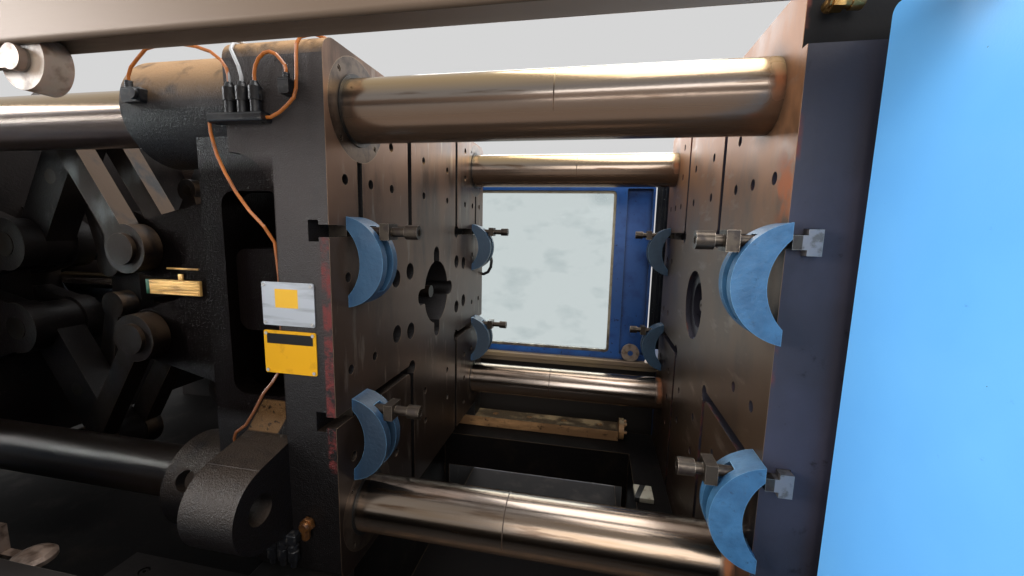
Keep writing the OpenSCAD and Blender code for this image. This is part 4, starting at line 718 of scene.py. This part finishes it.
# A rubber strip on the rear housing's edge closes the gap behind the gate's frame.
# It is extruded with two lips and black with oil.
gap_rubber = Finish("gap_rubber", shade(30, 32, 37), 0.5, gloss=0.3)
gap_rubber.coat(gap_rubber.patches(40, 7, 0.56, 0.70, stretch=(1, 1, 0.3)), shade(62, 62, 64), 0.6)
gap_rubber.coat(gap_rubber.patches(130, 6, 0.68, 0.72, shift=4.0), shade(190, 190, 186), 0.6)
gap_rubber.relief(gap_rubber.cloud(300, 3), 0.0005, 0.4)
gap_strip = bmesh.new()
block(gap_strip, (770, 758, -345), (821.6, 768, 425), 2)
for x in (772, 790, 806):
    block(gap_strip, (x, 752, -343), (x + 8, 760, 423), 2.5)
fix("gap_strip", gap_strip, gap_rubber, "bed")

# A pale nylon stop with a black band lies on the bed's deck beside the opening for the parts.
# It is a sawn block with its edges broken, held by one screw from below and stained by oil.
stop_nylon = Finish("stop_nylon", shade(176, 168, 150), 0.5)
stop_nylon.coat(stop_nylon.patches(40, 7, 0.5, 0.68), shade(128, 116, 98), 0.55)
band = stop_nylon.calc("ADD", stop_nylon.x, stop_nylon.calc("MULTIPLY", stop_nylon.y, -0.35))
stop_nylon.coat(stop_nylon.strip(band, -0.297, 0.009, 0.001), shade(20, 18, 17), 0.5)
stop_nylon.relief(stop_nylon.cloud(300, 3), 0.0004, 0.3)
deck_stop = bmesh.new()
block(deck_stop, (676, 82, -700), (738, 160, -682), 3)
fix("deck_stop", deck_stop, stop_nylon, "bed")

# The injection unit slides on the bed: barrel and screw, heater bands, hopper and motor.
# The barrel is bare alloy steel, blued by heat; the bands are stainless sheet, stained yellow.
barrel_steel = Finish("barrel_steel", shade(110, 96, 84), 0.38, 0.95)
heat_brown = barrel_steel.patches(6, 7, 0.44, 0.62, stretch=(0.6, 1, 1))
barrel_steel.coat(heat_brown, shade(84, 60, 50), 0.4, 0.8)
barrel_steel.relief(barrel_steel.cloud(200, 4), 0.0004, 0.4)
barrel_steel.onto("barrel")

band_sheet = Finish("band_sheet", shade(158, 152, 144), 0.36, 0.95)
band_sheet.coat(band_sheet.patches(18, 7, 0.46, 0.64), shade(122, 100, 84), 0.44, 0.8)
band_sheet.relief(band_sheet.cloud(140, 5), 0.0006, 0.5)
band_sheet.onto("heater_bands")

hopper_sheet = Finish("hopper_sheet", shade(176, 178, 180), 0.3, 0.95)
rolled = hopper_sheet.patches(90, 5, 0.5, 0.66, stretch=(0.05, 0.05, 1))
hopper_sheet.coat(rolled, shade(146, 148, 150), 0.38)
hopper_sheet.relief(hopper_sheet.cloud(200, 4, stretch=(0.1, 0.1, 1)), 0.0003, 0.4)
hopper_sheet.onto("hopper", "hopper_lid")

# The machine stands on a plain pale floor that melts into an even pale backdrop.
# Seen directly both are one plain grey; they light the object as a pale floor does.
bpy.ops.mesh.primitive_plane_add(size=60, location=(0, 0, 0))
floor = bpy.context.object
floor.name = "studio_floor"
floor_paint = Finish("floor_paint", shade(180, 180, 180), 0.8, gloss=0.05)
floor_paint.coat(floor_paint.patches(2, 4, 0.4, 0.7), shade(176, 176, 176), 0.85)
# Under the drop opening the floor is painted dark: a painted shadow.
shadow_below_drop = floor_paint.both(floor_paint.strip(floor_paint.x, -0.67, 0.45, 0.3),
                              floor_paint.strip(floor_paint.y, 0.0, 0.45, 0.3))
floor_paint.coat(shadow_below_drop, shade(44, 36, 30), 0.8)


def outside(value, half):
    """How far a place lies beyond the machine's side, nought beneath it."""
    past_side = floor_paint.calc("SUBTRACT", floor_paint.calc("ABSOLUTE", value), half)
    return floor_paint.calc("MAXIMUM", past_side, 0.0)


half_length, half_width = 3.3, 0.9
squares = [floor_paint.calc("POWER", outside(value, half), 2.0)
           for value, half in ((floor_paint.x, half_length), (floor_paint.y, half_width))]
away = floor_paint.calc("SQRT", floor_paint.calc("ADD", *squares))
floor_paths = floor_paint.add("ShaderNodeLightPath")
shown_ray = 0.0
for kind in ("Is Camera Ray", "Is Glossy Ray", "Is Transmission Ray"):
    shown_ray = floor_paint.calc("MAXIMUM", floor_paths.outputs[kind], shown_ray)
pale_grey = (*shade(214, 214, 214), 1)
backdrop_grey = floor_paint.add("ShaderNodeEmission")
backdrop_grey.inputs["Color"].default_value = pale_grey
melt = floor_paint.add("ShaderNodeMixShader")
floor_paint.join(floor_paint.both(floor_paint.fade(away, 0.1, 1.3), shown_ray), melt.inputs[0])
floor_paint.join(floor_paint.shader.outputs[0], melt.inputs[1])
floor_paint.join(backdrop_grey.outputs[0], melt.inputs[2])
floor_paint.join(melt.outputs[0], floor_paint.tree.nodes["Material Output"].inputs["Surface"])
floor.data.materials.append(floor_paint.material)


def soft_lamp(name, place, aim, size, power):
    """A large soft lamp at a place, turned to its aim."""
    lamp = bpy.data.lights.new(name, "AREA")
    lamp.shape = "RECTANGLE"
    lamp.size, lamp.size_y = size
    lamp.energy = power
    holder = bpy.data.objects.new(name, lamp)
    bpy.context.scene.collection.objects.link(holder)
    holder.location = place
    holder.rotation_euler = (Vector(aim) - Vector(place)).to_track_quat("-Z", "Y").to_euler()


soft_lamp("lamp_over", (0.2, 0.2, 5.2), (-0.4, 0.0, 1.2), (5.0, 2.4), 230)
soft_lamp("lamp_front", (0.6, -4.6, 2.8), (-0.4, 0.0, 1.3), (3.6, 2.4), 140)
soft_lamp("lamp_side", (-4.5, -2.2, 2.3), (-0.1, -0.8, 1.3), (2.2, 1.8), 210)
soft_lamp("lamp_rear", (-1.0, 4.6, 3.6), (-0.4, 0.0, 1.3), (4.0, 2.4), 150)

studio = bpy.data.worlds.new("studio")
bpy.context.scene.world = studio
studio.use_nodes = True
sky = studio.node_tree
paths = sky.nodes.new("ShaderNodeLightPath")
plain = sky.nodes["Background"]
plain.inputs["Color"].default_value = (0.80, 0.83, 0.86, 1)
plain.inputs["Strength"].default_value = 0.45
shown = sky.nodes.new("ShaderNodeBackground")
shown.inputs["Color"].default_value = pale_grey
shown.inputs["Strength"].default_value = 1.0
seen = paths.outputs["Is Camera Ray"]
for kind in ("Is Transmission Ray", "Is Glossy Ray"):
    either = sky.nodes.new("ShaderNodeMath")
    either.operation = "MAXIMUM"
    sky.links.new(seen, either.inputs[0])
    sky.links.new(paths.outputs[kind], either.inputs[1])
    seen = either.outputs[0]
swap = sky.nodes.new("ShaderNodeMixShader")
sky.links.new(seen, swap.inputs[0])
sky.links.new(plain.outputs[0], swap.inputs[1])
sky.links.new(shown.outputs[0], swap.inputs[2])
sky.links.new(swap.outputs[0], sky.nodes["World Output"].inputs["Surface"])

# The camera stands where the photographer held it, close in front of the open gate.
# It is turned a little to the left and downwards, and held very slightly askew.
eye = bpy.data.cameras.new("eye")
eye.sensor_width = 36.0
eye.lens = 14.752
eye.clip_start = 0.02
stand = bpy.data.objects.new("eye", eye)
bpy.context.scene.collection.objects.link(stand)
yaw, pitch, roll = 0.194, 0.1371, 0.0215
ahead = Vector((-math.sin(yaw) * math.cos(pitch), math.cos(yaw) * math.cos(pitch), -math.sin(pitch)))
side = Vector((math.cos(yaw), math.sin(yaw), 0.0))
above = side.cross(ahead)
right = side * math.cos(roll) + above * math.sin(roll)
upward = above * math.cos(roll) - side * math.sin(roll)
turn = Matrix((right, upward, -ahead)).transposed()
held_at = (-0.44501, -1.29023, 1.45538)
stand.matrix_world = Matrix.Translation(held_at) @ turn.to_4x4()
bpy.context.scene.camera = stand
bpy.context.scene.view_settings.view_transform = "Standard"
